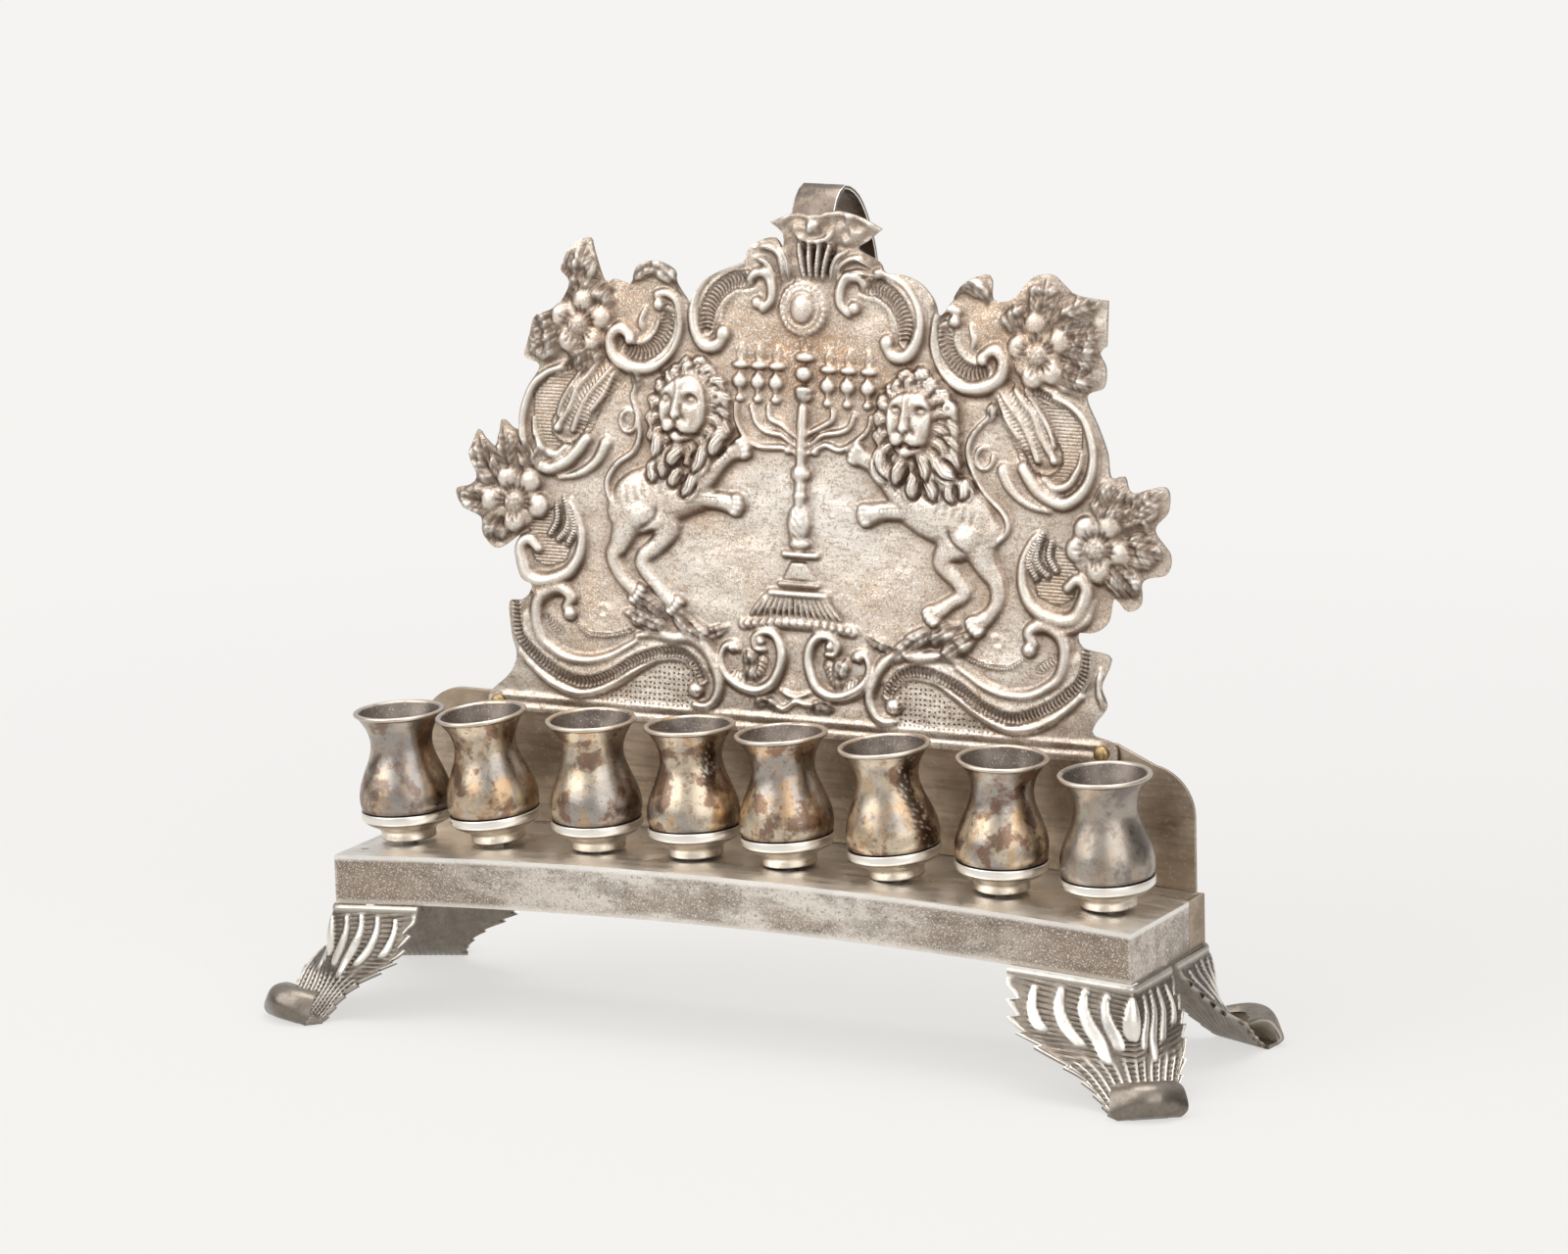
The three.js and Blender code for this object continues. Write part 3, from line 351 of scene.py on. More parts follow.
    def ticks(self, points, spacing, length, depth, slant=0.0):
        """Short cuts across a path."""
        p = curve_through(points, max(int(round(path_length(points) / spacing)), 2) + 1)
        heading = np.gradient(p, axis=0)
        heading /= np.maximum(np.linalg.norm(heading, axis=1)[:, None], 1e-9)
        out = np.stack([-heading[:, 1], heading[:, 0]], 1)
        cut = out * math.cos(slant) + heading * math.sin(slant)
        for middle, way in zip(p, cut):
            self.groove([middle - way * length / 2, middle + way * length / 2], 0.42 * spacing, depth)

    def band(self, points, width, rise, spacing, depth=0.6):
        """A hollow moulding between two raised edges, cut across with ticks."""
        cells, d, t, _ = self.near(self.path(points), width / 2 + 1)
        half = width / 2 * (0.55 + 0.45 * smooth_step(np.minimum(t, 1 - t) / 0.2))
        edge = rise * np.exp(-(((d - half) / 0.55) ** 2))
        self.lay(cells, np.maximum(edge, 0.3 * rise * (d < half)))
        self.ticks(points, spacing, width * 0.8, depth)
        self.across(points, width * 0.85, spacing, 0.9)

    def leaf(self, points, width, bulge, veins=5, base=0.0):
        """A pointed leaf with a sunk midrib, slanting veins and fine lines."""
        cells, rise = self.ridge(points, width, bulge, ends=(0.3, 0.06), power=0.5, base=base, lines=1.9)
        self.leafy[cells] = np.where(rise > 0.02, 1, self.leafy[cells])
        self.groove(points, 0.7, 0.5)
        p = curve_through(points, veins + 3)
        heading = np.gradient(p, axis=0)
        heading /= np.linalg.norm(heading, axis=1)[:, None]
        for i in range(1, veins + 1):
            reach = width * 0.42 * math.sin(math.pi * min((i + 0.6) / (veins + 2), 1))
            for hand in (-1, 1):
                out = left_of(heading[i]) * hand
                self.groove([p[i], p[i] + (out * 0.85 + heading[i] * 0.75) * reach], 0.6, 0.4)

    def covered(self, outline):
        """Where the grid lies inside an outline, and the cells round it."""
        p = self.mirrored(outline)
        cells, x, h = self.window(p.min(0) - 3, p.max(0) + 3)
        return cells, inside_outline(x, h, p).astype(float), h

    def cover(self, field, outline, strength=1.0, soft=2.0):
        """Adds to a mask inside an outline, with a soft edge."""
        cells, inside, _ = self.covered(outline)
        field[cells] = np.maximum(field[cells], blurred(inside, soft) * strength)

    def shade(self, outline, pitch=0.9):
        """Level lines over the ground inside an outline."""
        cells, inside, h = self.covered(outline)
        self.rule(cells, h / pitch, (inside > 0.5) & (self.form[cells] < 0.4), 0.5)

    def swell(self, outline, bulge, soft, base=0.0):
        """A form that fills an outline and rounds off to its edge over a soft width in cells."""
        cells, inside, _ = self.covered(outline)
        full = np.clip(2 * blurred(inside, soft) - 1, 0, 1)
        self.lay(cells, bulge * np.sqrt(np.sin(full * math.pi / 2)), base)


# The photograph's camera and the plane of the plate in the lamp's millimetres. It is the stage's
# camera with more decimals, so that a point which was picked in the photograph stays in its place.
PHOTO_MIDDLE = (800, 640)
PHOTO_LENS = 7146.1
PHOTO_PLACE = np.array([807.4127, -1551.1726, 471.7435])
PHOTO_YAW = math.radians(27.261645)
PHOTO_PITCH = math.radians(11.811012)
PHOTO_ROLL = math.radians(-1.421805)
PHOTO_LEAN = math.radians(6.9139)
PHOTO_PLATE = np.array([0, 20.7175, 78.0422])


def photo_axes():
    """Which way the photograph's camera looks, and what lies to its right and up."""
    yaw_cos, yaw_sin = math.cos(PHOTO_YAW), math.sin(PHOTO_YAW)
    pitch_cos, pitch_sin = math.cos(PHOTO_PITCH), math.sin(PHOTO_PITCH)
    ahead = np.array([-yaw_sin * pitch_cos, yaw_cos * pitch_cos, -pitch_sin])
    level = np.array([yaw_cos, yaw_sin, 0])
    upright = np.cross(level, ahead)
    roll_cos, roll_sin = math.cos(PHOTO_ROLL), math.sin(PHOTO_ROLL)
    return ahead, level * roll_cos + upright * roll_sin, upright * roll_cos - level * roll_sin


AHEAD, RIGHTWARD, UPWARD = photo_axes()
PLATE_FACING = np.array([0, -math.cos(PHOTO_LEAN), math.sin(PHOTO_LEAN)])
PLATE_SLOPE = np.array([0, math.sin(PHOTO_LEAN), math.cos(PHOTO_LEAN)])


def px(across, down, *width):
    """A point picked in the photograph, in its pixels, as x and h on the plate, to 0.1 mm."""
    ray = AHEAD + RIGHTWARD * (across - PHOTO_MIDDLE[0]) / PHOTO_LENS
    ray = ray + UPWARD * (PHOTO_MIDDLE[1] - down) / PHOTO_LENS
    reach = (PHOTO_PLATE - PHOTO_PLACE) @ PLATE_FACING / (ray @ PLATE_FACING)
    place = PHOTO_PLACE + ray * reach
    return (round(float(place[0]), 1), round(float((place - PHOTO_PLATE) @ PLATE_SLOPE), 1), *width)


# Curves of the frame's left half, which the right half mirrors: x and h on the plate in
# millimetres, or px with the pixels of a point picked in the photograph, and a width where there
# is one more value.

BOTTOM_TUBE = [
    px(580, 620, 2.4), px(585, 610, 3), px(575, 601, 3.2), px(560, 604, 3.2),
    px(551, 615, 3.2), px(550, 632, 3), px(554, 650, 2.8), px(565, 662, 2.6),
    px(582, 672, 2.4), px(605, 675, 2.2), px(625, 670, 2), px(640, 662, 1.8),
    px(652, 655, 1.5),
]
BOTTOM_TAIL = [
    px(652, 650, 1.6), px(670, 648, 2.4), px(690, 652, 3), px(707, 652, 3.2),
    px(722, 662, 3.2), px(732, 680, 3), px(736, 700, 2.6), px(731, 715, 2.2), px(722, 722, 2),
    px(710, 720, 1.6),
]
BOTTOM_CHANNEL = [
    px(529, 615), px(532, 647), px(550, 670), px(572, 687), px(597, 697), px(625, 690),
    px(650, 675), px(675, 667), px(695, 667), px(710, 677), px(719, 695),
]
BOTTOM_EDGE = [
    px(532, 665), px(545, 680), px(565, 697), px(587, 707), px(605, 707), px(625, 700),
    px(650, 685), px(675, 672),
]
BOTTOM_BROAD = [
    (-78.6, 20, 3.5), (-77.5, 14.5, 4.4), (-72, 9.6, 5), (-63, 7.6, 5), (-54.5, 9.4, 4.6),
    (-46.5, 13.6, 4.4),
    (-38, 16, 4), (-31, 15.6, 3.6), (-26.6, 11.5, 3),
]
BOTTOM_LINE = [px(585, 632), px(600, 647), px(615, 650), (-52, 17.8), px(647, 644)]

BOTTOM_KNOB = px(712, 705)

CENTRE_SCROLL = [
    (-9, 17), (-11.5, 17), (-12, 20), (-9, 21.6), (-6, 21), (-4.2, 18), (-4, 14), (-6, 9),
    (-9.5, 6.5), (-14, 6.5), (-19, 9), (-21.5, 13), (-20.5, 17), (-18, 18), (-16.6, 16.4),
]
CENTRE_INNER = [(-19.5, 10.4), (-15.5, 9), (-11.5, 10.2), (-9.6, 14)]

SIDE_RIM = [
    (-70.8, 86.8, 1.2), px(562, 380, 1.6), px(547, 392, 1.9), px(539, 410, 2.1),
    px(535, 430, 2.2), px(537, 452, 2.5), px(547, 470, 2.9), px(562, 479, 3.1),
    px(580, 472, 3.2), px(592, 460, 3.2), (-63.1, 68.4, 2.8),
]
SIDE_LOBE = [(-57.3, 67.6, 2.8), (-59, 64, 2.6), (-61.6, 61.2, 2.2), (-65.8, 58.9, 1.8), (-71, 57.8, 1.2)]
SIDE_INNER = [
    (-79, 73, 1), (-78.6, 70, 1.4), px(550, 447, 1.8), px(557, 460, 2.2), px(570, 465, 2.4),
    px(580, 457, 2.2),
]
SIDE_GROUND = [
    (-79, 80), (-79.5, 68), (-74, 63), (-67, 64), (-62, 70), (-57, 80), (-56, 88), (-66, 87),
    (-74, 85),
]
PLUME_RIBS = (
    [(-55.4, 86, 0.8), (-58, 80.6, 1.2), (-61.6, 76, 1.2)],
    [(-62.8, 88.4, 0.8), (-66.8, 83.6, 1.2), (-70, 78.6, 1.3), (-71.5, 74.5, 1.2)],
    [(-56, 87.6, 1), (-58.4, 84.6, 1.7), (-62, 80.6, 1.8), (-64.9, 75.8, 1.8), (-67, 70.6, 1.6)],
    [(-60, 88.3, 1.2), px(605, 382, 2), px(592, 397, 2.2), px(585, 415, 2.2), (-71.2, 71.8, 1.8)],
)

LOWER_RIM = [
    px(583, 512, 1.2), px(589, 522, 1.6), px(595, 540, 2), px(595, 558, 2.4),
    px(591, 572, 2.8), px(583, 584, 3.2), px(569, 592, 3.6), px(553, 594, 3.9),
    px(541, 588, 3.9), px(535, 572, 3.6), px(533, 558, 3.2), px(542, 551, 2.8),
    px(551, 560, 2.4),
]
LOWER_FEATHERS = (
    [px(577, 508, 1.2), px(582, 524, 2), px(581, 540, 2.2), px(572, 551, 1.6)],
    [px(585, 520, 1), px(589, 540, 1.8), px(582, 555, 1.6)],
    [(-71.5, 51, 1), (-71, 46.5, 1.6), (-73, 43, 1.4)],
)
LOWER_GROUND = [(-80, 46), (-78, 36), (-74, 34), (-68, 36), (-66, 42), (-70, 51)]

UPPER_RIM = [
    px(646, 344, 2.6), px(634, 336, 3), px(625, 347, 3.2), px(630, 365, 3.4),
    px(645, 375, 3.4), px(662, 377, 3), px(675, 372, 2.2), px(687, 360, 1.6),
    px(695, 340, 1.5), px(695, 322, 1.6), px(692, 307, 1.9), px(682, 300, 2.2),
    (-43.2, 107.2, 2.2),
]
UPPER_BAND = [(-51.5, 92.6), (-47.5, 91.8), (-43.5, 93.8), (-40.6, 98), (-40, 102.6)]
UPPER_BEADS = [px(645, 350), px(657, 347), px(668, 338), (-42.9, 101.3)]
UPPER_HOOD = [(-36.5, 108), (-40, 112.5), (-45, 114.6), (-50, 112), (-51.5, 108)]

TOP_RIM = [
    (-23.2, 97.4, 2.6), (-25.8, 94.8, 3.2), px(720, 352, 3.2), px(711, 335, 2.8),
    px(709, 315, 2.2), px(715, 297, 1.8), px(727, 282, 1.5), px(742, 274, 1.4),
    px(757, 271, 1.3),
]
TOP_HOOK = [
    (-16.6, 112.6, 1.6), (-14.6, 114.2, 2.4), (-11.4, 114.1, 2.8), px(790, 292, 2.6),
    px(789, 307, 2.4), (-12.3, 105.2, 2.2),
]
TOP_BAND = [(-28.6, 99), (-28.4, 104), (-25.8, 108.6), (-21.4, 111.8), (-17, 112.6)]
TOP_BEADS = [(-24.8, 101.2), px(741, 312), px(752, 302), (-15.6, 109.6)]

OUTLINE = [
    (-91, -4.5), (91.5, -5), (90.7, 0), (84.5, 2), (85, 5), (88, 9.4), (86.4, 14.4), (88.5, 20),
    (88, 22.5), (80.7, 24), (79.5, 27.5), (84, 28), (87.6, 31), (89, 37), (93, 34), (96.4, 36),
    (97, 42), (103, 44), (104, 49), (99.5, 55), (103, 60), (102, 66), (93, 64), (90.7, 68), (87, 67.5),
    (85.7, 73.7), (83, 80), (79.5, 87.5), (84, 90), (84.5, 95), (82.6, 98.7), (84.5, 100.6),
    (84.5, 112), (75.7, 113), (72.6, 115), (69, 117.7), (65, 117.5), (62, 115.6), (58, 111),
    (52.6, 110.6), (52, 115.6), (50, 117), (45, 114.4), (42, 111), (40, 107), (37.6, 106), (35.7, 110),
    (32, 113.7), (27, 115.6), (22, 116), (20, 118.7), (13.9, 121.8), px(885, 247.5), px(900, 235),
    px(880, 223.75), px(855, 216.25), (0.8, 129.9), (-4.1, 130.3), px(800, 222.5),
    px(786.25, 227.5), px(800, 240), (-7.6, 121), (-9.9, 123.5), (-14, 122.7), (-17.7, 120),
    (-18.6, 117), (-25.5, 114), (-30, 111), (-33.6, 105.6), (-35.5, 107), (-38, 110.6), (-38.6, 113.7),
    (-43.6, 116), (-48, 115), (-50, 113), (-51.7, 109.7), (-56.7, 110.6), (-59.5, 110), (-62.7, 117.5),
    (-64, 121), (-67.4, 120), (-70.5, 117.5), (-72, 112.5), (-69, 109.4), (-70.5, 105.6), (-74, 102),
    (-80, 99.4), (-81, 95), (-82.4, 89), (-78, 87), (-81, 81), (-83, 75), (-83, 70), (-85.5, 70),
    (-89, 72), (-90, 65), (-94, 67), (-96, 69), (-98, 62.5), (-95.5, 57.5), (-97.4, 54.4), (-102, 53),
    (-100.5, 49), (-94, 46), (-93, 41), (-89, 38), (-82.4, 42), (-83.4, 37.5), (-81, 31), (-77.4, 29),
    (-81, 25), (-85, 24), (-84, 16), (-82.4, 11), (-83, 7.5), (-85, 4.4), (-90, 0),
]
SHARP_CORNERS = {
    (-91, -4.5), (91.5, -5), (84.5, 112), (84.5, 100.6), px(900, 235), px(786.25, 227.5),
}


def plate_outline():
    """The trimmed edge of the plate as points about a millimetre apart."""
    points = []
    count = len(OUTLINE)
    for i, here in enumerate(OUTLINE):
        a = np.array(OUTLINE[i - 1], float)
        b = np.array(here, float)
        c = np.array(OUTLINE[(i + 1) % count], float)
        d = np.array(OUTLINE[(i + 2) % count], float)
        if here in SHARP_CORNERS:
            a = b
        if OUTLINE[(i + 1) % count] in SHARP_CORNERS:
            d = c
        steps = max(int(np.linalg.norm(c - b) / 1.0), 2)
        for k in range(steps):
            points.append(curve_point(a, b, c, d, k / steps))
    return np.array(points)


def draw_bottom(r):
    """The scroll and the ticked channel along the foot of the plate, and the scroll at its middle."""
    r.ridge(BOTTOM_BROAD, 3, 0.8, power=0.4)
    r.ridge(BOTTOM_EDGE, 3.0, 1.5, ends=0.6)
    r.across([(x + 0.4, h + 1.7) for x, h in BOTTOM_EDGE], 0.9, 0.9)
    r.band(BOTTOM_CHANNEL, 3.6, 1.0, 1.1)
    r.ridge(BOTTOM_LINE, 1.3, 0.6)
    r.across(BOTTOM_LINE, 1.1, 0.8)
    r.ridge(BOTTOM_TUBE, 3, 1.9)
    r.across([(-73.5, 20.5), (-69.4, 17.6)], 2.6, 1.0, 0.7)
    r.dome((-66.4, 22.4), 2.1, 2.1, 2.3)
    r.ridge(BOTTOM_TAIL, 3, 1.9)
    r.dome(BOTTOM_KNOB, 2.3, 2.3, 2.4)
    r.ring((-57, 23.6), 1.6, 1.6, 0.8, 0.4)
    r.ridge([(-86.5, 19), (-86, 14), (-87, 9)], 2.2, 1.2, ends=0.4)
    r.ridge(CENTRE_INNER, 3.4, 0.9)
    r.across(CENTRE_INNER, 3.4, 1.1, 0.8)
    r.leaf([(-14, 8.4), (-13, 12.5), (-14.5, 17)], 4.6, 1.4, veins=3)
    r.ridge(CENTRE_SCROLL, 3.3, 2.0, ends=(0.55, 0.5))
    r.dome((-10, 19), 1.4, 1.4, 2.2)
    r.dome((-18.3, 16.8), 1.4, 1.4, 2.0)
    r.leaf([(-20, 22), (-25, 20), (-30, 19)], 3.6, 1.0, veins=4)


def draw_sides(r):
    """The big side scroll with its plumes, and the feathered scroll under it."""
    r.shade(SIDE_GROUND)
    r.band([(-73, 85.6), (-69, 87), (-65.5, 88.6)], 2.4, 0.8, 0.9)
    r.ridge(SIDE_INNER, 2, 1.5)
    r.ridge(SIDE_LOBE, 2, 1.6)
    r.ridge(SIDE_RIM, 3, 2.2)
    plume = [(-56.5, 86.5), (-61.5, 82), (-65.5, 77), (-69, 71.5)]
    r.ridge(plume, 11, 1.2, ends=(0.5, 0.3), power=0.5)
    r.across(plume, 9.5, 1.2, 0.7)
    for rib in PLUME_RIBS:
        r.ridge(rib, 2, 1.9)
    r.dome((-71.6, 70.9), 1.3, 1.3, 2.2)
    r.shade(LOWER_GROUND)
    for feather in LOWER_FEATHERS:
        r.ridge(feather, 2, 1.5)
        r.across([p[:2] for p in feather], 2.2, 0.8)
    r.ridge(LOWER_RIM, 3, 2.2)
    r.ridge([(-84, 36), (-82, 30.5), (-76, 27.5), (-70, 29)], 2.2, 1.6)


def draw_tops(r):
    """The scrolls on the shoulder of the plate and the ones that lead up to its crest."""
    r.band(UPPER_BAND, 5.2, 1.0, 1.1)
    r.beads(UPPER_BEADS, 1.4, 0.5, 1.0)
    r.ridge(UPPER_RIM, 3, 2.3)
    r.dome((-42.6, 104.7), 1.8, 1.8, 2.6)
    r.dome((-50.8, 95.2), 1.8, 1.8, 2.5)
    r.leaf(UPPER_HOOD, 5.6, 1.8, veins=6)
    r.ridge([(-46.8, 103.5), (-48, 100), (-47, 97)], 1.8, 1.2, ends=(0.6, 0.2))
    r.band(TOP_BAND, 5.4, 0.9, 1.1)
    r.beads(TOP_BEADS, 1.4, 0.55, 1.1)
    r.ridge(TOP_RIM, 3, 2.2)
    r.ridge(TOP_HOOK, 3, 2.2)
    r.dome((-23.6, 98.2), 2.2, 2.2, 2.7)
    r.dome((-13.9, 106.6), 1.8, 1.8, 2.6)


# Rosettes: the middle, the petals and the leaves behind them.
FLOWERS = (
    (
        px(527.4, 513),
        [px(520, 488), px(543, 492), px(503, 510), px(551, 517), px(527, 532)],
        [
            [(-85, 56), (-87, 63), (-88.5, 70)], [(-88, 55), (-93, 60.5), (-95.5, 67.5)],
            [(-89, 51), (-95.5, 50.5), (-101.5, 51.5)], [(-87, 47), (-89.5, 43.5), (-90, 39.2)],
            [(-78, 58.5), (-79.5, 63), (-83.5, 68)],
        ],
    ),
    (
        px(1120, 562.5),
        [
            px(1110, 541.25), px(1133.75, 540), px(1101.25, 562.5), px(1145, 567.5),
            px(1122.5, 585),
        ],
        [
            [(85, 55), (88, 61.5), (91.5, 65.5)], [(88, 54), (95, 60), (101.5, 65)],
            [(89, 50), (96, 49.5), (103, 48.5)], [(87, 46), (92.5, 41.5), (96, 37)],
            [(90, 53), (95, 55.5), (99, 55)],
        ],
    ),
    (
        px(592, 332.5),
        [
            px(597.5, 307.5), px(573.75, 322.5), px(615, 325), px(582.5, 347.5),
            px(606.25, 347.5),
        ],
        [
            [(-66, 104), (-66.5, 112), (-65, 119.5)], [(-70, 102), (-75.5, 99.5), (-80, 97)],
            [(-71, 96), (-77, 92.5), (-81, 89.5)], [(-62, 103), (-60, 107), (-58, 109.5)],
            [(-68, 104), (-71, 109), (-70.5, 115)], [(-60, 95), (-63.5, 91.5), (-70, 88)],
        ],
    ),
    (
        px(1060, 364),
        [px(1059, 331), px(1084, 350), px(1042, 356), px(1076, 382), px(1056, 386)],
        [
            [(66, 104), (67, 111), (67.5, 117)], [(69, 103), (75, 108.5), (83, 111.4)],
            [(71, 99), (77, 98), (83.6, 97.6)], [(70, 95), (76, 92.5), (83, 90.8)],
            [(62, 103), (59.5, 107), (58, 110)], [(70, 101), (77, 102.4), (83.6, 103.6)],
        ],
    ),
)


def draw_flower(r, middle, petals, leaves):
    """A rosette with a flat punched boss, smooth cupped petals and crumpled leaves behind."""
    for leaf in leaves:
        r.leaf(leaf, 10.0, 1.5, veins=6)
    c = np.array(middle, float)
    r.dome(c, 7.4, 7.4, 1.3, power=0.3)
    for petal in petals:
        p = np.array(petal, float)
        out = (p - c) / np.linalg.norm(p - c)
        turn = math.degrees(math.atan2(out[1], out[0]))
        r.dome(p, 3.4, 3.5, 2.2, turn=turn, power=0.4)
        for swing in (-0.32, 0, 0.32):
            cos, sin = math.cos(swing), math.sin(swing)
            way = np.array([out[0] * cos - out[1] * sin, out[0] * sin + out[1] * cos])
            r.groove([c + way * 2.9, c + way * (5.8 - 3 * abs(swing))], 0.6, 0.6)
    r.dome(c, 2.8, 2.8, 2.5, power=0.2)
    for k in range(16):
        reach = 2.2 * math.sqrt((k + 0.5) / 16)
        r.pit(c + reach * np.array([math.cos(2.4 * k), math.sin(2.4 * k)]), 0.36, 0.7)


CREST_RIBS = (
    [px(800, 287.5), px(797.5, 262.5), px(785, 252.5), px(770, 255)],
    [(-5.4, 113), (-6, 118), (-8.6, 121.4)],
    [(-8.8, 113.4), (-11.4, 117), (-15.6, 118)],
    [px(855, 287.5), px(860, 272.5), px(875, 265), px(890, 275)],
    [(6.6, 113.4), (8, 118.4), (11.4, 121.4)],
    [(10.6, 113), (13.6, 115.6), (18.4, 115.2)],
)
CREST_JEWEL = px(821.25, 316.25)
CREST_SHELL = px(831.25, 233.75)


def draw_crest(r):
    """The oval jewel in its beaded ring, the flutes over it and the flaring cornice."""
    r.swell(
        [
            (-10.6, 127.4), (-4, 129.6), (0.8, 129.2), (7.8, 130.4), (14.6, 129), (19, 127),
            (13, 122.6), (-6.6, 123.4),
        ],
        0.25, 2.0,
    )
    r.ridge(
        [(-10.6, 127.4), (-4.1, 129.6), (0.8, 129.2), (7.8, 130.5), (14.8, 129), (19.4, 127)], 0.9,
        1.1, ends=0.5,
    )
    r.ridge([(-4.4, 128.4), (-3.8, 124.8), (1.3, 122.9), (6.4, 124.8), (7, 128.4)], 1.3, 1.1)
    r.dome(CREST_SHELL, 3.2, 2.0, 1.6)
    # The cornice and the fluted neck below it take the dark tone: painted shade on the hollow cornice.
    r.leafy[r.covered([(-11, 128), (0.8, 130), (14.6, 130), (20, 127), (13, 116), (-7, 116)])[0]] = 0.8
    for x in (-0.8, 1, 2.9):
        r.groove([(x + 0.4, 125), (x, 128)], 0.6, 0.4)
    for k in range(4):
        r.ridge([(-0.6 + 1.7 * k, 113.6), (-2.6 + 2.9 * k, 122.2)], 1.9, 1.9, ends=0.7)
        r.across([(-0.6 + 1.7 * k, 113.6), (-2.6 + 2.9 * k, 122.2)], 1.1, 1.0, 0.5)
        r.groove([(0.3 + 1.7 * k, 113.8), (-1.2 + 2.9 * k, 122.4)], 0.9, 0.7)
    for rib in CREST_RIBS:
        r.ridge(rib, 2.0, 1.7, ends=(0.5, 0.3), lines=0.8)
    r.dome(CREST_JEWEL, 7.6, 7.8, 0.9, power=0.35)
    turn = np.linspace(0, 2 * math.pi, 27)
    x, h = CREST_JEWEL
    loop = np.stack([x + 6.2 * np.cos(turn), h + 6.4 * np.sin(turn)], 1)
    r.beads(loop, 1.5, 0.68, 0.9, base=0.8)
    r.ring(CREST_JEWEL, 4.6, 5.1, 1.0, 0.9, base=0.8)
    r.dome(CREST_JEWEL, 3.6, 4.2, 1.8, base=1.0)


def draw_menorah(r):
    """The menorah in relief: beaded plinth, fluted skirt, turned shaft and curved branches."""
    r.ridge([(-15.5, 23.2), (0, 24.4), (16.3, 23.2)], 3.4, 1.1, ends=0.9, power=0.4)
    r.beads([(-14.2, 23.4), (0, 24.5), (15, 23.4)], 2.15, 0.72, 1.0, base=0.9)
    for x in np.linspace(-15.2, 16, 15):
        r.groove([(x, 22.4 + 1.1 * (1 - (x / 16) ** 2)), (x, 24.4 + 1.1 * (1 - (x / 16) ** 2))], 0.6, 0.7)
    skirt = np.array([(-13, 26), (12.6, 26), (8.4, 31.2), (-9, 31.2)], float)
    for k in range(15):
        share = k / 14
        foot = skirt[0] + (skirt[1] - skirt[0]) * share
        head = skirt[3] + (skirt[2] - skirt[3]) * share
        r.ridge([foot, head], 1.6, 1.5, ends=0.8)
        r.groove([foot + (0.9, 0), head + (0.6, 0)], 0.6, 0.6)
    r.ridge([(-7.8, 32), (8.2, 32)], 2.4, 1.9, ends=0.85)
    r.ridge([(-5.2, 34.4), (5.8, 34.4)], 1.6, 1.7, ends=0.9)
    for k in range(5):
        half = 4.2 - 0.5 * k
        r.ridge([(0.3 - half, 36 + 0.95 * k), (0.3 + half, 36 + 0.95 * k)], 1.0, 1.5 + 0.1 * k, ends=0.9)
    r.ridge([(-4.2, 42.2), (5.2, 42.2)], 2.0, 2.2, ends=0.85)
    r.dome((0.3, 45), 3.4, 1.9, 2.1)
    r.dome((0, 50.4), 3.6, 5.8, 2.4, power=0.6)
    r.ticks([(0, 46), (0, 54.5)], 2.0, 4.4, 0.35, slant=0.8)
    r.ridge([(0, 54), (0, 62)], 4.0, 1.9, ends=0.8)
    r.dome((0, 57.4), 2.3, 1.1, 2.3)
    r.dome((0, 63.2), 3.0, 2.6, 2.4)
    for x in (-1.4, 0, 1.4):
        r.groove([(x, 61.8), (x * 1.5, 64.8)], 0.5, 0.4)
    r.ridge([(0, 65), (0, 80)], 3.6, 2.0, ends=0.9)
    r.dome((0, 69), 1.6, 1.4, 2.3)
    r.dome((0, 73.6), 1.4, 0.8, 2.2)
    arms = (
        [(-19.5, 80), (-19, 75.5), (-16, 71.5), (-12, 69.4), (-5, 69.5), (-1, 68)],
        [(-15, 80), (-13.5, 76), (-10.5, 73.5), (-6, 72.8), (-3, 70.9), (-1, 70)],
        [(-10, 80), (-9.5, 77), (-6, 75.5), (-3.5, 73.7), (-1, 72)],
        [(8.5, 80), (8.5, 77.5), (5, 75.3), (2.5, 74), (1, 72.4)],
        [(14.5, 79), (13.5, 76), (11, 74.5), (6, 73.5), (3.5, 71.6), (1, 70)],
        [(19.5, 79), (18.5, 75), (13, 70.6), (10, 70), (7, 71), (5, 70.2), (1, 68)],
    )
    for arm in arms:
        r.ridge(arm, 1.7, 1.5, ends=0.8)
    for x in (-3.9, 3.8):
        r.dome((x, 69), 1.2, 1.2, 1.8)
    for x in (-18.4, -13.2, -8, 7, 12.6, 18.4):
        r.dome((x, 81.7), 1.5, 1.2, 1.7)
        r.dome((x, 84), 0.9, 1.6, 1.1)
        r.dome((x, 86.2), 2.4, 2.2, 2.1)
        r.dome((x, 88.2), 1.0, 0.9, 1.5)
        r.dome((x, 90.4), 2.7, 1.2, 2.0)
        for hand in (-0.8, 0.8):
            r.ridge([(x, 91), (x + hand, 93), (x, 95.6)], 0.9, 1.0, ends=0.6)
    for hand in (-1, 1):
        r.leaf([(0, 81.6), (hand * 2.4, 84.2)], 2.4, 1.8, veins=2)
        r.ridge([(0, 94), (hand * 1.1, 96.6), (0, 99.4)], 0.8, 1.0, ends=0.6)
    r.leaf([(0, 81), (0, 86)], 3.0, 2.1, veins=2)
    r.dome((0, 84.8), 2.9, 1.2, 2.0)
    r.dome((0, 89), 2.6, 2.3, 2.4)
    r.dome((0, 93.2), 3.1, 1.5, 2.1)


# The lions. Limbs are (x, h, width); other curves are (x, h).

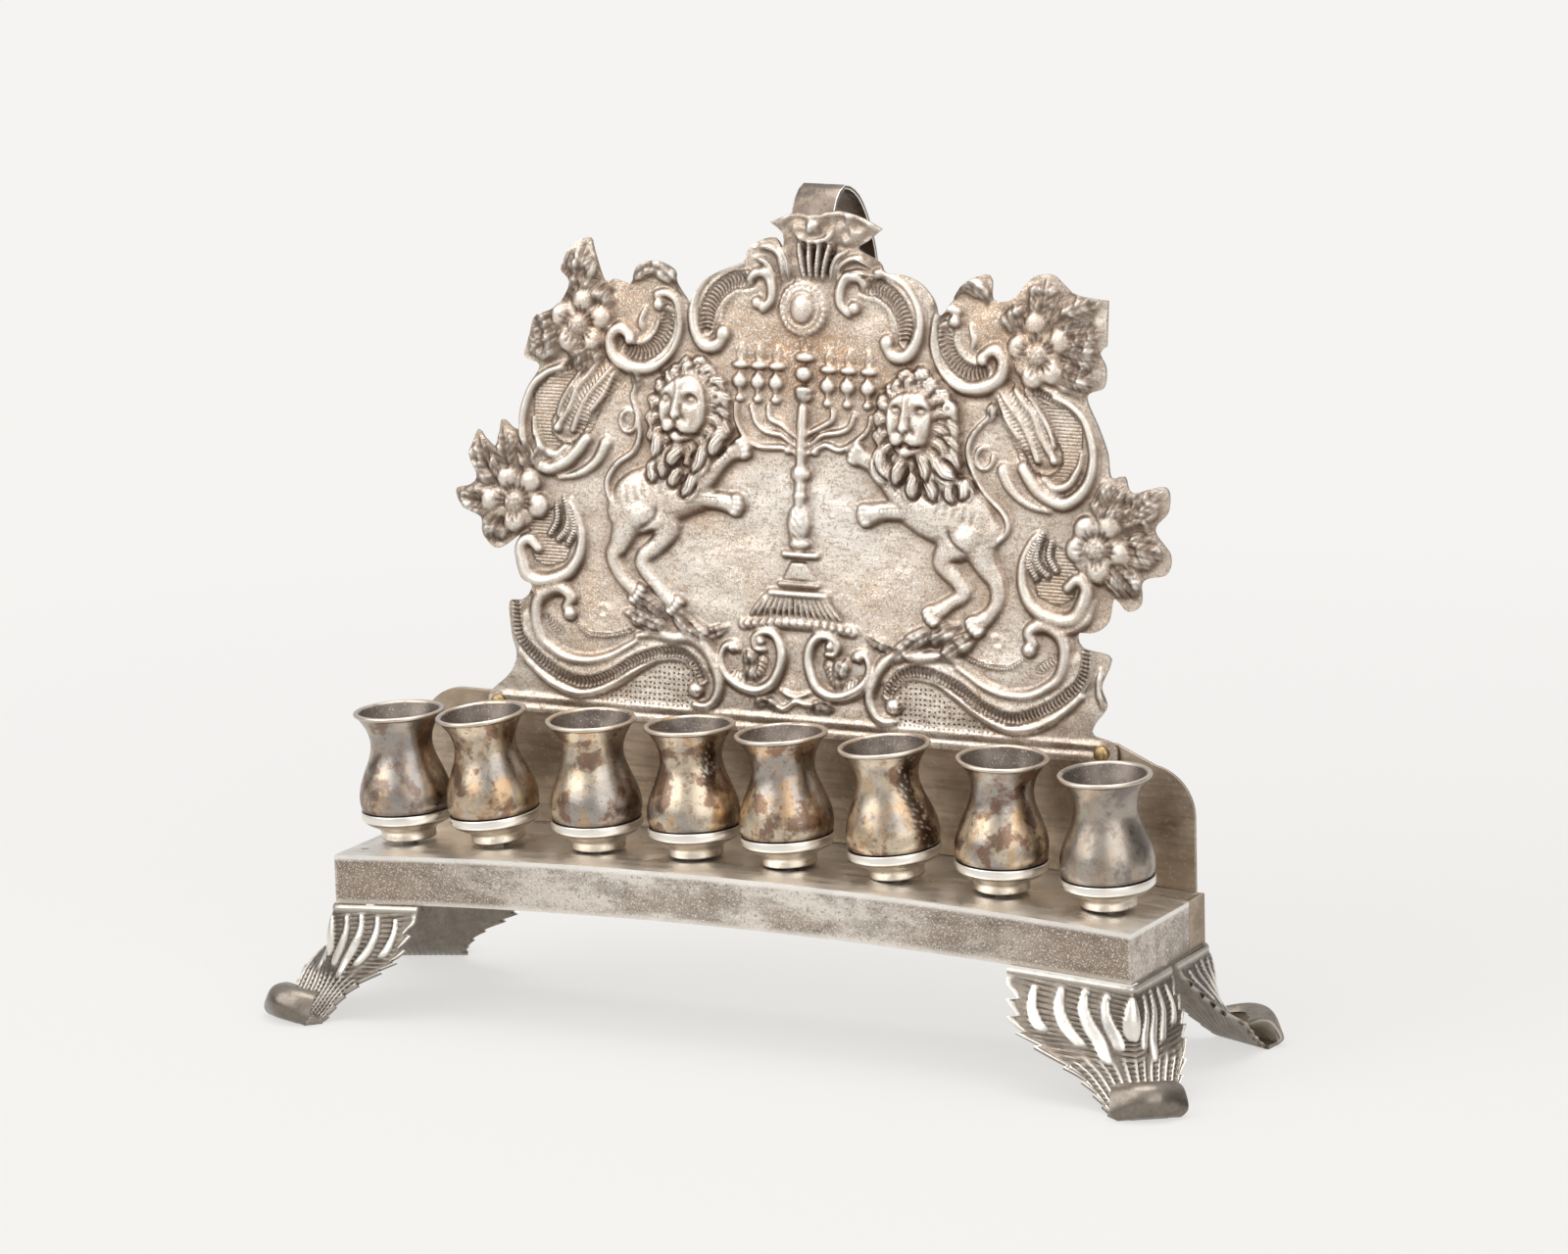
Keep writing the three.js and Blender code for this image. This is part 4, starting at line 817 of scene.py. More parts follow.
LEFT_LION = {
    "trunk": [(-31, 57, 9), (-37.7, 55.5, 11), px(666, 508, 12), (-48.1, 53, 11), (-51, 50.4, 8)],
    "legs": (
        [
            (-48, 49.8, 8.5), (-42.1, 49, 8), (-38.4, 46.6, 6), px(674, 556, 4.2), (-45.4, 37.9, 3.6),
            px(666, 590, 3.3), px(680, 608, 3.3), px(690, 618, 4.2),
        ],
        [
            px(642, 536, 7), px(634, 556, 4.8), px(628, 568, 3.8), px(634, 586, 3.2),
            (-48.5, 30.4, 3.2), px(652, 606, 4),
        ],
        [(-35.3, 53.4, 5.4), px(714, 510, 4.2), px(734, 512, 3.7), px(752, 516, 4.6)],
        [(-30, 58.5, 5.6), (-27, 60.8, 5), px(734, 476, 4), px(746, 465, 3.6), (-17.2, 68.6, 4.6)],
    ),
    "hip": (-46, 49.8),
    "tail": [
        (-50, 47.5), px(632, 522), px(623, 506), px(622, 490), px(632, 474), px(648, 462),
        px(654.4, 446), px(653.6, 430), px(650, 416), px(647, 404), px(652, 393),
    ],
    "ring": px(643, 431),
    "mane": [
        px(714, 365), (-37.7, 88.9), (-41.6, 84.8), (-43.9, 79.5), (-44.4, 73.4), (-43.4, 68),
        (-38.5, 64), (-31, 62.5), (-25, 64.6), (-21.8, 68.5), px(748, 444), (-21, 76.5),
        px(748, 408), (-23.2, 86), (-26.2, 89.4),
    ],
    "face": [
        (-30.6, 87), (-33.4, 87.2), (-36.8, 86), (-40.2, 82.8), (-40.9, 79.7), (-40.5, 75.6),
        (-39.2, 72), (-35.3, 69), (-30.6, 70.2), (-27.2, 74.4), (-26.6, 79), (-27.4, 84.4),
    ],
    "eyes": ((-38.6, 80.6), (-31, 80.5)),
    "nose": [(-34.6, 84.6, 1.3), (-34.8, 80.5, 2), (-35.2, 77, 3)],
    "nostrils": (-35.4, 75.8),
    "pads": ((-37.8, 73.4), (-32.8, 73.7)),
    "mouth": [(-39.6, 71.9), (-37.4, 71.7), (-35.2, 72.7), (-33, 71.4), (-29, 71.6)],
    "chin": (-35.4, 69.9),
    "ears": ((-24.4, 81.6),),
    "locks": (
        [px(670, 478), px(670, 496)], [px(694, 482), px(690, 501)],
        [px(712, 488), px(698, 510)], [(-39.4, 64), (-39, 59)], [px(676, 450), px(670, 470)],
        [px(738, 446), px(730, 470)], [px(722, 462), px(710, 486)],
        [(-34.9, 67.4), px(686, 480)],
    ),
    "buds": (
        [px(644, 608), px(662, 616), px(684, 634)],
        [px(688, 616), px(700, 634), px(732, 660)], [(-50, 24), (-43, 21.6), (-36, 19.6)],
    ),
}
RIGHT_LION = {
    "trunk": [(31, 58.5, 9), (36.4, 56.4, 11), px(968, 526, 12.5), (47.6, 54, 12), (52.4, 50.8, 8)],
    "legs": (
        [
            (49.4, 50, 9), (45.6, 48.2, 7.5), (42.2, 45, 5.6), (41.6, 42.3, 4.4), px(978, 594, 3.6),
            (47.4, 35.2, 3.3), px(970, 618, 3.2), px(954, 630, 4.2),
        ],
        [
            (51.6, 47, 7), (53.6, 42.6, 5), (56.4, 38.8, 3.8), (57, 34.4, 3.3), px(1012, 628, 3.2),
            px(998, 640, 4.2),
        ],
        [(35.9, 56, 5.4), px(926, 523, 4.3), px(904, 523, 3.8), (19.4, 53.7, 4.8)],
        [(31.5, 57.4, 5.4), (28.5, 59.2, 4.8), px(904, 488, 4), (19.8, 67.2, 3.6), (16.2, 69, 4.8)],
    ),
    "hip": (48.2, 49.6),
    "tail": [
        (54, 48), px(1020, 555), px(1030, 542), px(1026, 526), px(1008, 506), px(996, 486),
        px(990, 466), px(992, 450), px(1000, 438), px(1012, 426),
    ],
    "ring": px(1006, 469),
    "mane": [
        px(940, 378), (37.5, 89.4), (42, 85.8), (44.6, 81.1), (44.8, 75), (45.6, 69), (44, 64.7),
        (38, 62.5), (31, 62.6), (25.4, 65), (22.2, 69.8), (21.2, 76.7), (21.4, 81.8), (23.6, 86.2),
        (26.9, 90.3),
    ],
    "face": [
        (30.6, 86.4), (27.2, 85.2), (24.9, 81.9), (25, 77.9), (25.9, 73.7), (27.8, 70.3), (31, 69.2),
        (34.8, 70.2), (37, 73.2), (38, 77.7), (37.6, 82.7), (35.8, 86),
    ],
    "eyes": ((27.8, 81.1), (35.1, 81.1)),
    "nose": [(30.8, 84.5, 1.2), (30.6, 80.5, 2), (30.5, 77.2, 3.2)],
    "nostrils": (30.5, 76),
    "pads": ((28.4, 73.8), (33.2, 74)),
    "mouth": [(26.8, 72.2), (28.8, 71.8), (30.8, 72.8), (33, 71.8), (36, 72.6)],
    "chin": (30.8, 70),
    "ears": ((42.2, 82.4),),
    "locks": (
        [px(987, 498), px(984, 514)], [px(972, 498), px(978, 518)],
        [px(952, 494), px(958, 516)], [px(936, 490), px(936, 514)],
        [px(902, 466), px(901, 482), (26.7, 62.5)], [px(960, 474), px(982, 492)],
        [px(946, 470), (36.7, 62.6)], [px(925, 472), (27.9, 61)],
    ),
    "buds": (
        [px(1000, 650), px(984, 658), px(958, 676)],
        [px(960, 644), px(936, 656), px(908, 680)], [(46, 27), (42, 24.6), (37, 21.5)],
    ),
}


def draw_limb(r, stations, bulge):
    """A limb of changing width with three short ridges at its end, which its paw's toes cover."""
    r.ridge(stations, 0, bulge, power=0.55)
    w, c = np.array(stations[-2][:2]), np.array(stations[-1][:2])
    out = (c - w) / np.linalg.norm(c - w)
    across = left_of(out)
    for k in (-1, 0, 1):
        toe = c + out * 1.5 + across * 1.45 * k
        r.ridge([c + across * 0.9 * k, toe], 1.5, bulge * 0.95, ends=0.9)


def draw_paw(r, limb):
    """Four toes side by side at the end of a limb."""
    wrist, paw = np.array(limb[-2][:2], float), np.array(limb[-1][:2], float)
    way = (paw - wrist) / np.linalg.norm(paw - wrist)
    turn = math.degrees(math.atan2(way[1], way[0]))
    for spread in (-2.1, -0.7, 0.7, 2.1):
        toe = paw + way * (1.0 - 0.12 * spread**2) + left_of(way) * spread
        r.dome(toe, 1.9, 0.85, 3.0, turn=turn, power=0.5)


def draw_mane(r, lion, seed):
    """Swirling locks from the face out to the mane's edge, and leaf-shaped locks of beard."""
    rng = np.random.default_rng(seed)
    count = 17
    rim = curve_through(lion["mane"] + lion["mane"][:1], count + 1)
    face = curve_through(lion["face"] + lion["face"][:1], count + 1)
    r.swell(lion["mane"], 2.1, 2.6)
    centre = face.mean(0)
    bearing = np.arctan2(face[:, 1] - centre[1], face[:, 0] - centre[0])
    partings = []
    for tier, (near, far, width, base) in enumerate(((0.25, 1.0, 4.4, 0.6), (0.0, 0.6, 3.6, 1.0))):
        for k in range(count):
            turn = math.atan2(rim[k, 1] - centre[1], rim[k, 0] - centre[0]) + 0.1 * tier
            nearest = np.argmin(np.abs(np.angle(np.exp(1j * (bearing - turn)))))
            root = face[nearest]
            way = rim[k] - root
            start, tip = root + way * near, root + way * far * rng.uniform(0.94, 1.04)
            side = left_of(way) / max(np.linalg.norm(way), 1)
            swirl = side * (1.3 if way[0] > 0 else -1.3)
            path = np.array([start, (start + tip) / 2 + swirl * 0.8, tip - swirl * 0.3])
            r.ridge(path, width, 1.0, ends=(0.6, 0.25), base=base + 0.5, lines=1.2)
            partings.append(path + side * width * 0.42)
    for path in partings:
        r.groove(path, 0.6, 0.7)
    edges = []
    for k, lock in enumerate(lion["locks"]):
        root, tip = np.array(lock[0], float), np.array(lock[-1], float)
        side = np.array([tip[1] - root[1], root[0] - tip[0]])
        path = lock if len(lock) == 3 else [root, (root + tip) / 2 + side * (0.16 if k % 2 else -0.16), tip]
        r.ridge(path, 5.6, 1.6, ends=(0.8, 0.15), base=1.4 + 0.1 * k, lines=1.2)
        side = side / np.linalg.norm(side)
        for hand in (-1, 1):
            edges.append([root + side * hand * 1.7, (root + tip) / 2 + side * hand * 2.1, tip])
    for path in edges:
        r.groove(path, 0.7, 0.9)


def draw_face(r, lion):
    """A lion's face from the front: brow, ringed eyes, long nose and punched whisker pads."""
    r.swell(lion["face"], 1.7, 4.5, base=2.3)
    nx, nh = lion["nostrils"]
    r.ridge(lion["nose"], 0, 1.1, add=True)
    for x, h in lion["eyes"]:
        hand = 1 if x > nx else -1
        r.ridge([(nx + hand * 1.4, h + 1.6), (x, h + 2.6), (x + hand * 2.4, h + 1.2)], 1.9, 0.55, add=True)
        r.dome((x, h), 2.2, 1.6, -0.8, add=True)
        r.dome((x, h), 1.4, 0.95, 0.7, add=True)
        r.groove([(x - 1.7, h), (x - 0.4, h + 1.0), (x + 0.5, h + 1.0), (x + 1.7, h)], 0.6, 0.5)
        r.groove([(x - 1.6, h - 0.1), (x, h - 0.9), (x + 1.6, h - 0.1)], 0.5, 0.35)
        r.pit((x, h + 0.1), 0.45, 0.3)
        r.groove(
            [(nx + hand * 1.5, nh + 4), (nx + hand * 1.9, nh + 0.8), (nx + hand * 4.2, nh - 1.6)],
            0.7, 0.5,
        )
        r.dome((nx + hand * 4.2, nh + 1.2), 2.0, 2.8, 0.5, add=True)
        r.groove([(nx + hand * 0.7, nh + 9), (nx + hand * 1.4, nh + 11)], 0.5, 0.35)
        r.pit((nx + hand * 1.0, nh - 0.1), 0.5, 0.8)
    r.dome((nx, nh + 0.2), 2.0, 1.1, 0.6, add=True)
    for x, h in lion["pads"]:
        r.dome((x, h), 2.5, 1.9, 0.9, add=True)
        for dx, dh in ((-1.1, 0.5), (-0.2, 0.9), (0.8, 0.5), (-0.5, -0.1), (0.5, -0.3), (-1.2, -0.6)):
            r.pit((x + dx, h + dh), 0.3, 0.4)
    r.groove(lion["mouth"], 0.8, 1.0)
    r.groove([(nx, nh - 0.8), (nx, nh - 3)], 0.5, 0.6)
    x, h = lion["chin"]
    r.dome((x, h), 2.2, 1.3, 0.8, add=True)


def draw_lion(r, lion, seed):
    for bud in lion["buds"]:
        r.leaf(bud, 5.4, 2.0, veins=7)
    r.ridge(lion["tail"], 1.7, 1.6, ends=(0.9, 0.7))
    tip = np.array(lion["tail"][-1], float)
    hand = 1 if tip[0] > 0 else -1
    r.leaf([tip - (0, 1.4), tip + (hand * 0.4, 1.4), tip + (hand * 1.6, 3.6)], 3.2, 1.6, veins=2)
    x, h = lion["ring"]
    r.ridge(
        [(x + 2.4 * math.cos(a), h + 2.8 * math.sin(a)) for a in np.linspace(0.9, 6.6, 12)], 1.3, 1.5,
        ends=(0.4, 0.8),
    )
    near_leg, far_leg, low_arm, high_arm = lion["legs"]
    draw_limb(r, far_leg, 2.3)
    r.ridge(lion["trunk"], 0, 2.6, power=0.5)
    for k in range(5):
        r.groove(
            [(hand * (40.5 + 2.5 * k), 59.6 - 0.8 * k), (hand * (39.6 + 2.5 * k), 55 - 0.6 * k)], 1.1,
            0.22,
        )
    draw_limb(r, near_leg, 2.7)
    r.dome(lion["hip"], 6.0, 5.2, 3.2, turn=20, power=0.55)
    r.groove(
        [(lion["hip"][0] - hand * 5, 52.6), (lion["hip"][0] - hand * 4.4, 49), (lion["hip"][0], 45.6)],
        0.8, 0.5,
    )
    for arm in (low_arm, high_arm):
        draw_limb(r, arm, 2.5)
        r.across([p[:2] for p in arm[:-1]], 1.8, 1.1, 0.3)
    for limb in lion["legs"]:
        draw_paw(r, limb)
    draw_mane(r, lion, seed)
    for x, h in lion["ears"]:
        r.dome((x, h), 2.2, 2.0, 1.2, base=1.9)
        r.pit((x, h), 0.9, 0.7)
    draw_face(r, lion)


def draw_rail(r):
    """The straight lower border of the plate, with dotted ground over it."""
    r.ridge([(-86, -0.6), (87, -0.6)], 1.7, 0.4, ends=1.0)
    r.ridge([(-88, -3.6), (89, -3.6)], 2.0, 0.25, ends=1.0)
    r.groove([(-88, -2.3), (89, -2.3)], 0.6, 0.3)
    for side in (1, -1):
        r.side = side
        r.leaf([(-4, 2), (-8, 3.6), (-12, 2.4)], 3.6, 1.3, veins=3)
        dotted = [
            (-66, 0.2), (-60, 0.4), (-54, 2.2), (-45, 6.6), (-37, 11.2), (-30, 12.6), (-27, 9),
            (-30, 5), (-30, 0.2),
        ]
        r.cover(r.stipple, dotted)
    r.side = 1
    r.ridge([(-7, 3.5), (-3, 2), (0.3, 4), (4, 3.6), (7, 4.4)], 1.5, 1.4)
    r.ridge([(-4.4, 6.8), (-1, 5.4), (2, 5.6), (4.6, 6.8)], 1.3, 1.2)


def drawn_relief():
    r = Relief()
    for side in (1, -1):
        r.side = side
        draw_bottom(r)
        draw_sides(r)
        draw_tops(r)
    r.side = 1
    for middle, petals, leaves in FLOWERS:
        draw_flower(r, middle, petals, leaves)
    draw_crest(r)
    draw_menorah(r)
    draw_lion(r, LEFT_LION, 3)
    draw_lion(r, RIGHT_LION, 4)
    draw_rail(r)
    rumple = rough_field(r.form.shape, 9, 11)
    crumple = rough_field(r.form.shape, 3.2, 12)
    r.form = np.clip(blurred(r.form, 1.3), -0.6, 5.6)
    r.form += 0.12 * rumple * np.exp(-r.form) + (0.03 + 0.26 * blurred(r.leafy, 2)) * crumple
    r.cuts = blurred(r.cuts, 0.7)
    return r


def sampled(r, field, points):
    """The field of the relief at points, between its cells."""
    u = np.clip((points[:, 0] - r.x[0]) / RELIEF_CELL, 0, len(r.x) - 1.001)
    v = np.clip((points[:, 1] - r.h[0]) / RELIEF_CELL, 0, len(r.h) - 1.001)
    i, j = v.astype(int), u.astype(int)
    a, b = v - i, u - j
    low = field[i, j] * (1 - b) + field[i, j + 1] * b
    high = field[i + 1, j] * (1 - b) + field[i + 1, j + 1] * b
    return low * (1 - a) + high * a


def filled(outline, spacing, seed, busy=None):
    """Triangles that fill the outline, with points about spacing apart inside it. Where busy says
    there is nothing to show, only every second row and column is kept."""
    low, high = outline.min(0), outline.max(0)
    xs = np.arange(low[0], high[0], spacing)
    hs = np.arange(low[1], high[1], spacing * 0.87)
    x, h = np.meshgrid(xs, hs)
    x[1::2] += spacing / 2
    row, column = np.indices(x.shape)
    keep = np.ones(x.size, bool)
    grid = np.stack([x.ravel(), h.ravel()], 1)
    if busy is not None:
        keep = busy(grid) | ((row % 2 == 0) & ((column + row // 2) % 2 == 0)).ravel()
    grid += np.random.default_rng(seed).uniform(-0.01, 0.01, grid.shape)
    grid = grid[keep]
    grid = grid[inside_outline(grid[:, 0], grid[:, 1], outline)]
    edge = np.vstack([outline, (outline + np.roll(outline, -1, axis=0)) / 2])
    clear = np.ones(len(grid), bool)
    for start in range(0, len(edge), 40):
        part = edge[start : start + 40]
        near = np.flatnonzero(((grid > part.min(0) - 2) & (grid < part.max(0) + 2)).all(1))
        gap = ((grid[near, None, :] - part[None]) ** 2).sum(2).min(1)
        clear[near] &= gap > (spacing * 0.55) ** 2
    grid = grid[clear]
    corners = [Vector(p) for p in outline] + [Vector(p) for p in grid]
    loop = list(range(len(outline)))
    points, _, faces, _, _, _ = geometry.delaunay_2d_cdt(corners, [], [loop], 1, 1e-7)
    return np.array([(p.x, p.y) for p in points]), faces, len(outline)


def plate_place(points, depth):
    """Points of the plate's own plane at a depth in front of its face, as points of the lamp."""
    x = points[:, 0]
    y = PLATE_GROUND + points[:, 1] * math.sin(PLATE_LEAN) - depth * math.cos(PLATE_LEAN)
    z = BENCH_TOP + WALL_RISE + points[:, 1] * math.cos(PLATE_LEAN) + depth * math.sin(PLATE_LEAN)
    return np.stack([x, y, z], 1)


class LAMP_OT_backplate(bpy.types.Operator):
    """Strikes the backplate: one sheet with its relief in front and the hollows of it behind"""

    bl_idname = "lamp.backplate"
    bl_label = "Backplate"

    def execute(self, context):
        grain = context.scene.lamp_sizes.relief_grain
        r = drawn_relief()
        height = r.form - r.cuts
        down = -np.array(np.gradient(height, RELIEF_CELL))
        slope = np.hypot(*down)
        detail = blurred(np.maximum(np.clip(slope, 0, 1), 0.6 * (r.lined > 0.3)), 3)
        outline = plate_outline()

        def busy(places):
            return sampled(r, detail, places) > BUSY_DETAIL

        front, faces, ring = filled(outline, grain, 21, busy)
        back, back_faces, _ = filled(outline, grain * BACK_COARSENESS, 22)
        hollow = sampled(r, np.clip(blurred(r.form, 3) - 0.5, 0, 9), back)
        front_places = plate_place(front, sampled(r, height, front))
        back_places = plate_place(back, hollow * 0.9 - SHEET)
        shift = len(front)
        faces = [tuple(f) for f in faces] + [tuple(shift + i for i in reversed(f)) for f in back_faces]
        for i in range(ring):
            j = (i + 1) % ring
            faces.append((j, i, shift + i, shift + j))
        points = placed(np.vstack([front_places, back_places]))
        plate = mesh_piece("embossed_backplate", points, faces, smooth_angle=60)
        hollowness = blurred(height, 7) - height
        x, h = np.meshgrid(r.x, r.h)
        fields = {
            "recess": np.clip(0.5 * hollowness + 1.5 * blurred(r.cuts, 0.9), 0, 1),
            # Painted shade: a broad darkening round the raised forms, where they meet the ground.
            "halo": np.clip(0.5 * (blurred(height, 20) - height), 0, 1),
            # Wear and a painted highlight: the crests of the forms are lightened.
            "crown": np.clip(-0.8 * hollowness, 0, 1),
            # Painted shade: the steep sides of the forms are darkened.
            "edge": np.clip(1.1 * blurred(slope, 0.8) - 0.35, 0, 1),
            # Painted shade: the sides of the forms that face right and down are darkened.
            "lee": np.clip(0.9 * blurred(down[1] - down[0], 1.5), 0, 1),
            # A broad pale patch, low in the middle of the plate, lightened near white.
            "rubbed": np.exp(-(((x - 8) / 26) ** 2) - ((h - 53) / 13) ** 2),
            "warmth": np.exp(-((x / 26) ** 2) - ((h - 92) / 16) ** 2)
            + 0.6 * np.exp(-(((np.abs(x) - 62) / 18) ** 2) - ((h - 98) / 16) ** 2),
            "lined": blurred(r.lined, 1.0),
            "phase": r.phase,
            "stipple": r.stipple,
            # Tarnish on the leaves and towards the plate's sides, and painted shade on the cornice.
            "leafy": np.maximum(blurred(r.leafy, 1.5), 0.45 * smooth_step((np.abs(x) - 56) / 32)),
        }
        behind = {"recess": np.clip(0.3 * hollow, 0, 0.45), "leafy": np.full(len(back), 0.7)}
        quiet = np.zeros(len(back))
        for name, field in fields.items():
            float_attribute(
                plate, name, np.concatenate([sampled(r, field, front), behind.get(name, quiet)]),
            )
        paint(plate, finish_of("embossed_sheet_silver"))
        stands_for(plate, "lamp_body", "plate_silver", "backplate")
        return {"FINISHED"}


# Materials. Each starts from the real metal and how it was worked.


def linear(hex_colour):
    """An sRGB hex colour as linear RGBA."""
    channels = [int(hex_colour[i : i + 2], 16) / 255 for i in (1, 3, 5)]
    return tuple(c / 12.92 if c <= 0.04045 else ((c + 0.055) / 1.055) ** 2.4 for c in channels) + (1.0,)


def node(tree, kind, settings=None, stops=(), **links):
    """Adds a node with its settings, the stops of its ramp and its inputs, found by name or by
    identifier. A node given as an input's value joins by its first output."""
    made = tree.nodes.new(kind)
    for key, value in (settings or {}).items():
        setattr(made, key, value)
    for i, (place, colour) in enumerate(stops):
        band = made.color_ramp.elements
        element = band[i] if i < len(band) else band.new(place)
        element.position = place
        element.color = linear(colour) if isinstance(colour, str) else (colour, colour, colour, 1)
    for key, value in links.items():
        name = key.replace("_", " ")
        socket = next(s for s in made.inputs if s.enabled and (s.identifier == key or s.name == name))
        if isinstance(value, bpy.types.Node):
            value = next(s for s in value.outputs if s.enabled)
        if isinstance(value, bpy.types.NodeSocket):
            tree.links.new(value, socket)
        else:
            socket.default_value = value
    return made


TIMES = {"operation": "MULTIPLY"}

# Noises by the size of their grains in millimetres and their stretch along each axis.
NOISES = {
    "cloud": (22.0, (1, 1, 1)),
    "patch": (9.0, (1, 1, 1)),
    "mottle": (3.2, (1, 1, 1)),
    "speck": (1.0, (1, 1, 1)),
    "dust": (0.45, (1, 1, 1)),
    "streak": (3.0, (0.2, 1, 1)),
    "long_patch": (12.0, (0.45, 1, 1.3)),
    "worn": (5.0, (0.5, 1, 1)),
    "grain": (1.1, (0.06, 1, 1)),
    "weave": (0.9, (0.25, 1, 1)),
    "runs": (5.5, (1, 1, 0.3)),
    "dents": (12.0, (1, 1, 1)),
}


def worked_metal(name, base, layers, rough, bumps):
    """A metal whose colour is built up in layers. A layer is (pattern, start, end, amount, colour):
    the colour comes in where the pattern passes from start to end. Rough is (pattern, low, high)
    and a bump is (pattern, depth in millimetres, strength). A pattern is a noise, a painted
    attribute, lines, dots, ends, which grows from the bench's middle to its ends, or bowed, the
    height over the floor in millimetres with the bench's camber taken out."""
    material = bpy.data.materials.new(name)
    material.use_nodes = True
    tree = material.node_tree
    tree.nodes.clear()
    place = node(tree, "ShaderNodeTexCoord").outputs["Object"]
    patterns = {}
    for kind in sorted({layer[0] for layer in layers} | {bump[0] for bump in bumps} | {rough[0]}):
        if kind in NOISES:
            size, stretch = NOISES[kind]
            spot = node(tree, "ShaderNodeMapping", Vector=place, Scale=stretch)
            made = node(
                tree, "ShaderNodeTexNoise", Vector=spot, Scale=1 / (size * MM), Detail=4.0,
                Roughness=0.62,
            )
        elif kind == "lines":
            phase = node(tree, "ShaderNodeAttribute", {"attribute_name": "phase"})
            turn = node(tree, "ShaderNodeMath", TIMES, Value=phase, Value_001=2 * math.pi)
            wave = node(tree, "ShaderNodeMath", {"operation": "SINE"}, Value=turn)
            wave = node(tree, "ShaderNodeMapRange", Value=wave, From_Min=-0.4)
            lined = node(tree, "ShaderNodeAttribute", {"attribute_name": "lined"})
            made = node(tree, "ShaderNodeMath", TIMES, Value=wave, Value_001=lined)
        elif kind == "dots":
            parts = node(tree, "ShaderNodeSeparateXYZ", Vector=place)
            flat = node(tree, "ShaderNodeCombineXYZ", X=parts, Y=parts.outputs["Z"])
            cells = node(
                tree, "ShaderNodeTexVoronoi", {"voronoi_dimensions": "2D"},
                Vector=flat, Scale=1 / (1.4 * MM), Randomness=0.3,
            )
            wave = node(tree, "ShaderNodeMapRange", Value=cells, From_Min=0.27, From_Max=0.15)
            dotted = node(tree, "ShaderNodeAttribute", {"attribute_name": "stipple"})
            made = node(tree, "ShaderNodeMath", TIMES, Value=wave, Value_001=dotted)
        elif kind in ("bowed", "ends"):
            parts = node(tree, "ShaderNodeSeparateXYZ", Vector=place)
            half = BENCH_LENGTH / 2
            across = node(
                tree, "ShaderNodeMath", {"operation": "MULTIPLY_ADD"},
                Value=parts, Value_001=1 / (half * MM), Value_002=-SHIFT.x / half,
            )
            made = node(tree, "ShaderNodeMath", TIMES, Value=across, Value_001=across)
            if kind == "bowed":
                bow = node(tree, "ShaderNodeMath", TIMES, Value=made, Value_001=BENCH_CAMBER)
                made = node(
                    tree, "ShaderNodeMath", {"operation": "MULTIPLY_ADD"},
                    Value=parts.outputs["Z"], Value_001=1 / MM, Value_002=bow,
                )
        else:
            made = node(tree, "ShaderNodeAttribute", {"attribute_name": kind})
        patterns[kind] = made
    colour = node(tree, "ShaderNodeRGB")
    colour.outputs[0].default_value = linear(base)
    for kind, start, end, amount, laid in layers:
        share = node(
            tree, "ShaderNodeMapRange", Value=patterns[kind], From_Min=start, From_Max=end,
            To_Max=amount,
        )
        mix = {"data_type": "RGBA"}
        colour = node(tree, "ShaderNodeMix", mix, Factor=share, A=colour, B=linear(laid))
    normal = {}
    for kind, depth, strength in bumps:
        way = {"invert": depth < 0}
        deep = abs(depth) * MM
        made = node(
            tree, "ShaderNodeBump", way, Height=patterns[kind], Distance=deep, Strength=strength,
            **normal,
        )
        normal = {"Normal": made}
    kind, low, high = rough
    dull = node(
        tree, "ShaderNodeMapRange", Value=patterns[kind], From_Min=0.3, From_Max=0.7, To_Min=low,
        To_Max=high,
    )
    shader = node(
        tree, "ShaderNodeBsdfPrincipled", Metallic=1.0, Base_Color=colour, Roughness=dull, **normal,
    )
    node(tree, "ShaderNodeOutputMaterial", Surface=shader)
    return material


def chosen(name):
    """A colour of the lamp's settings as sRGB hex."""
    channels = getattr(bpy.context.scene.lamp_colours, name)
    srgb = [12.92 * c if c <= 0.0031308 else 1.055 * c ** (1 / 2.4) - 0.055 for c in channels]
    return "#" + "".join(f"{round(255 * c):02X}" for c in srgb)


# Height of the bench's top over the floor with its camber taken out.
BENCH_HIGH = BENCH_TOP + BENCH_CAMBER


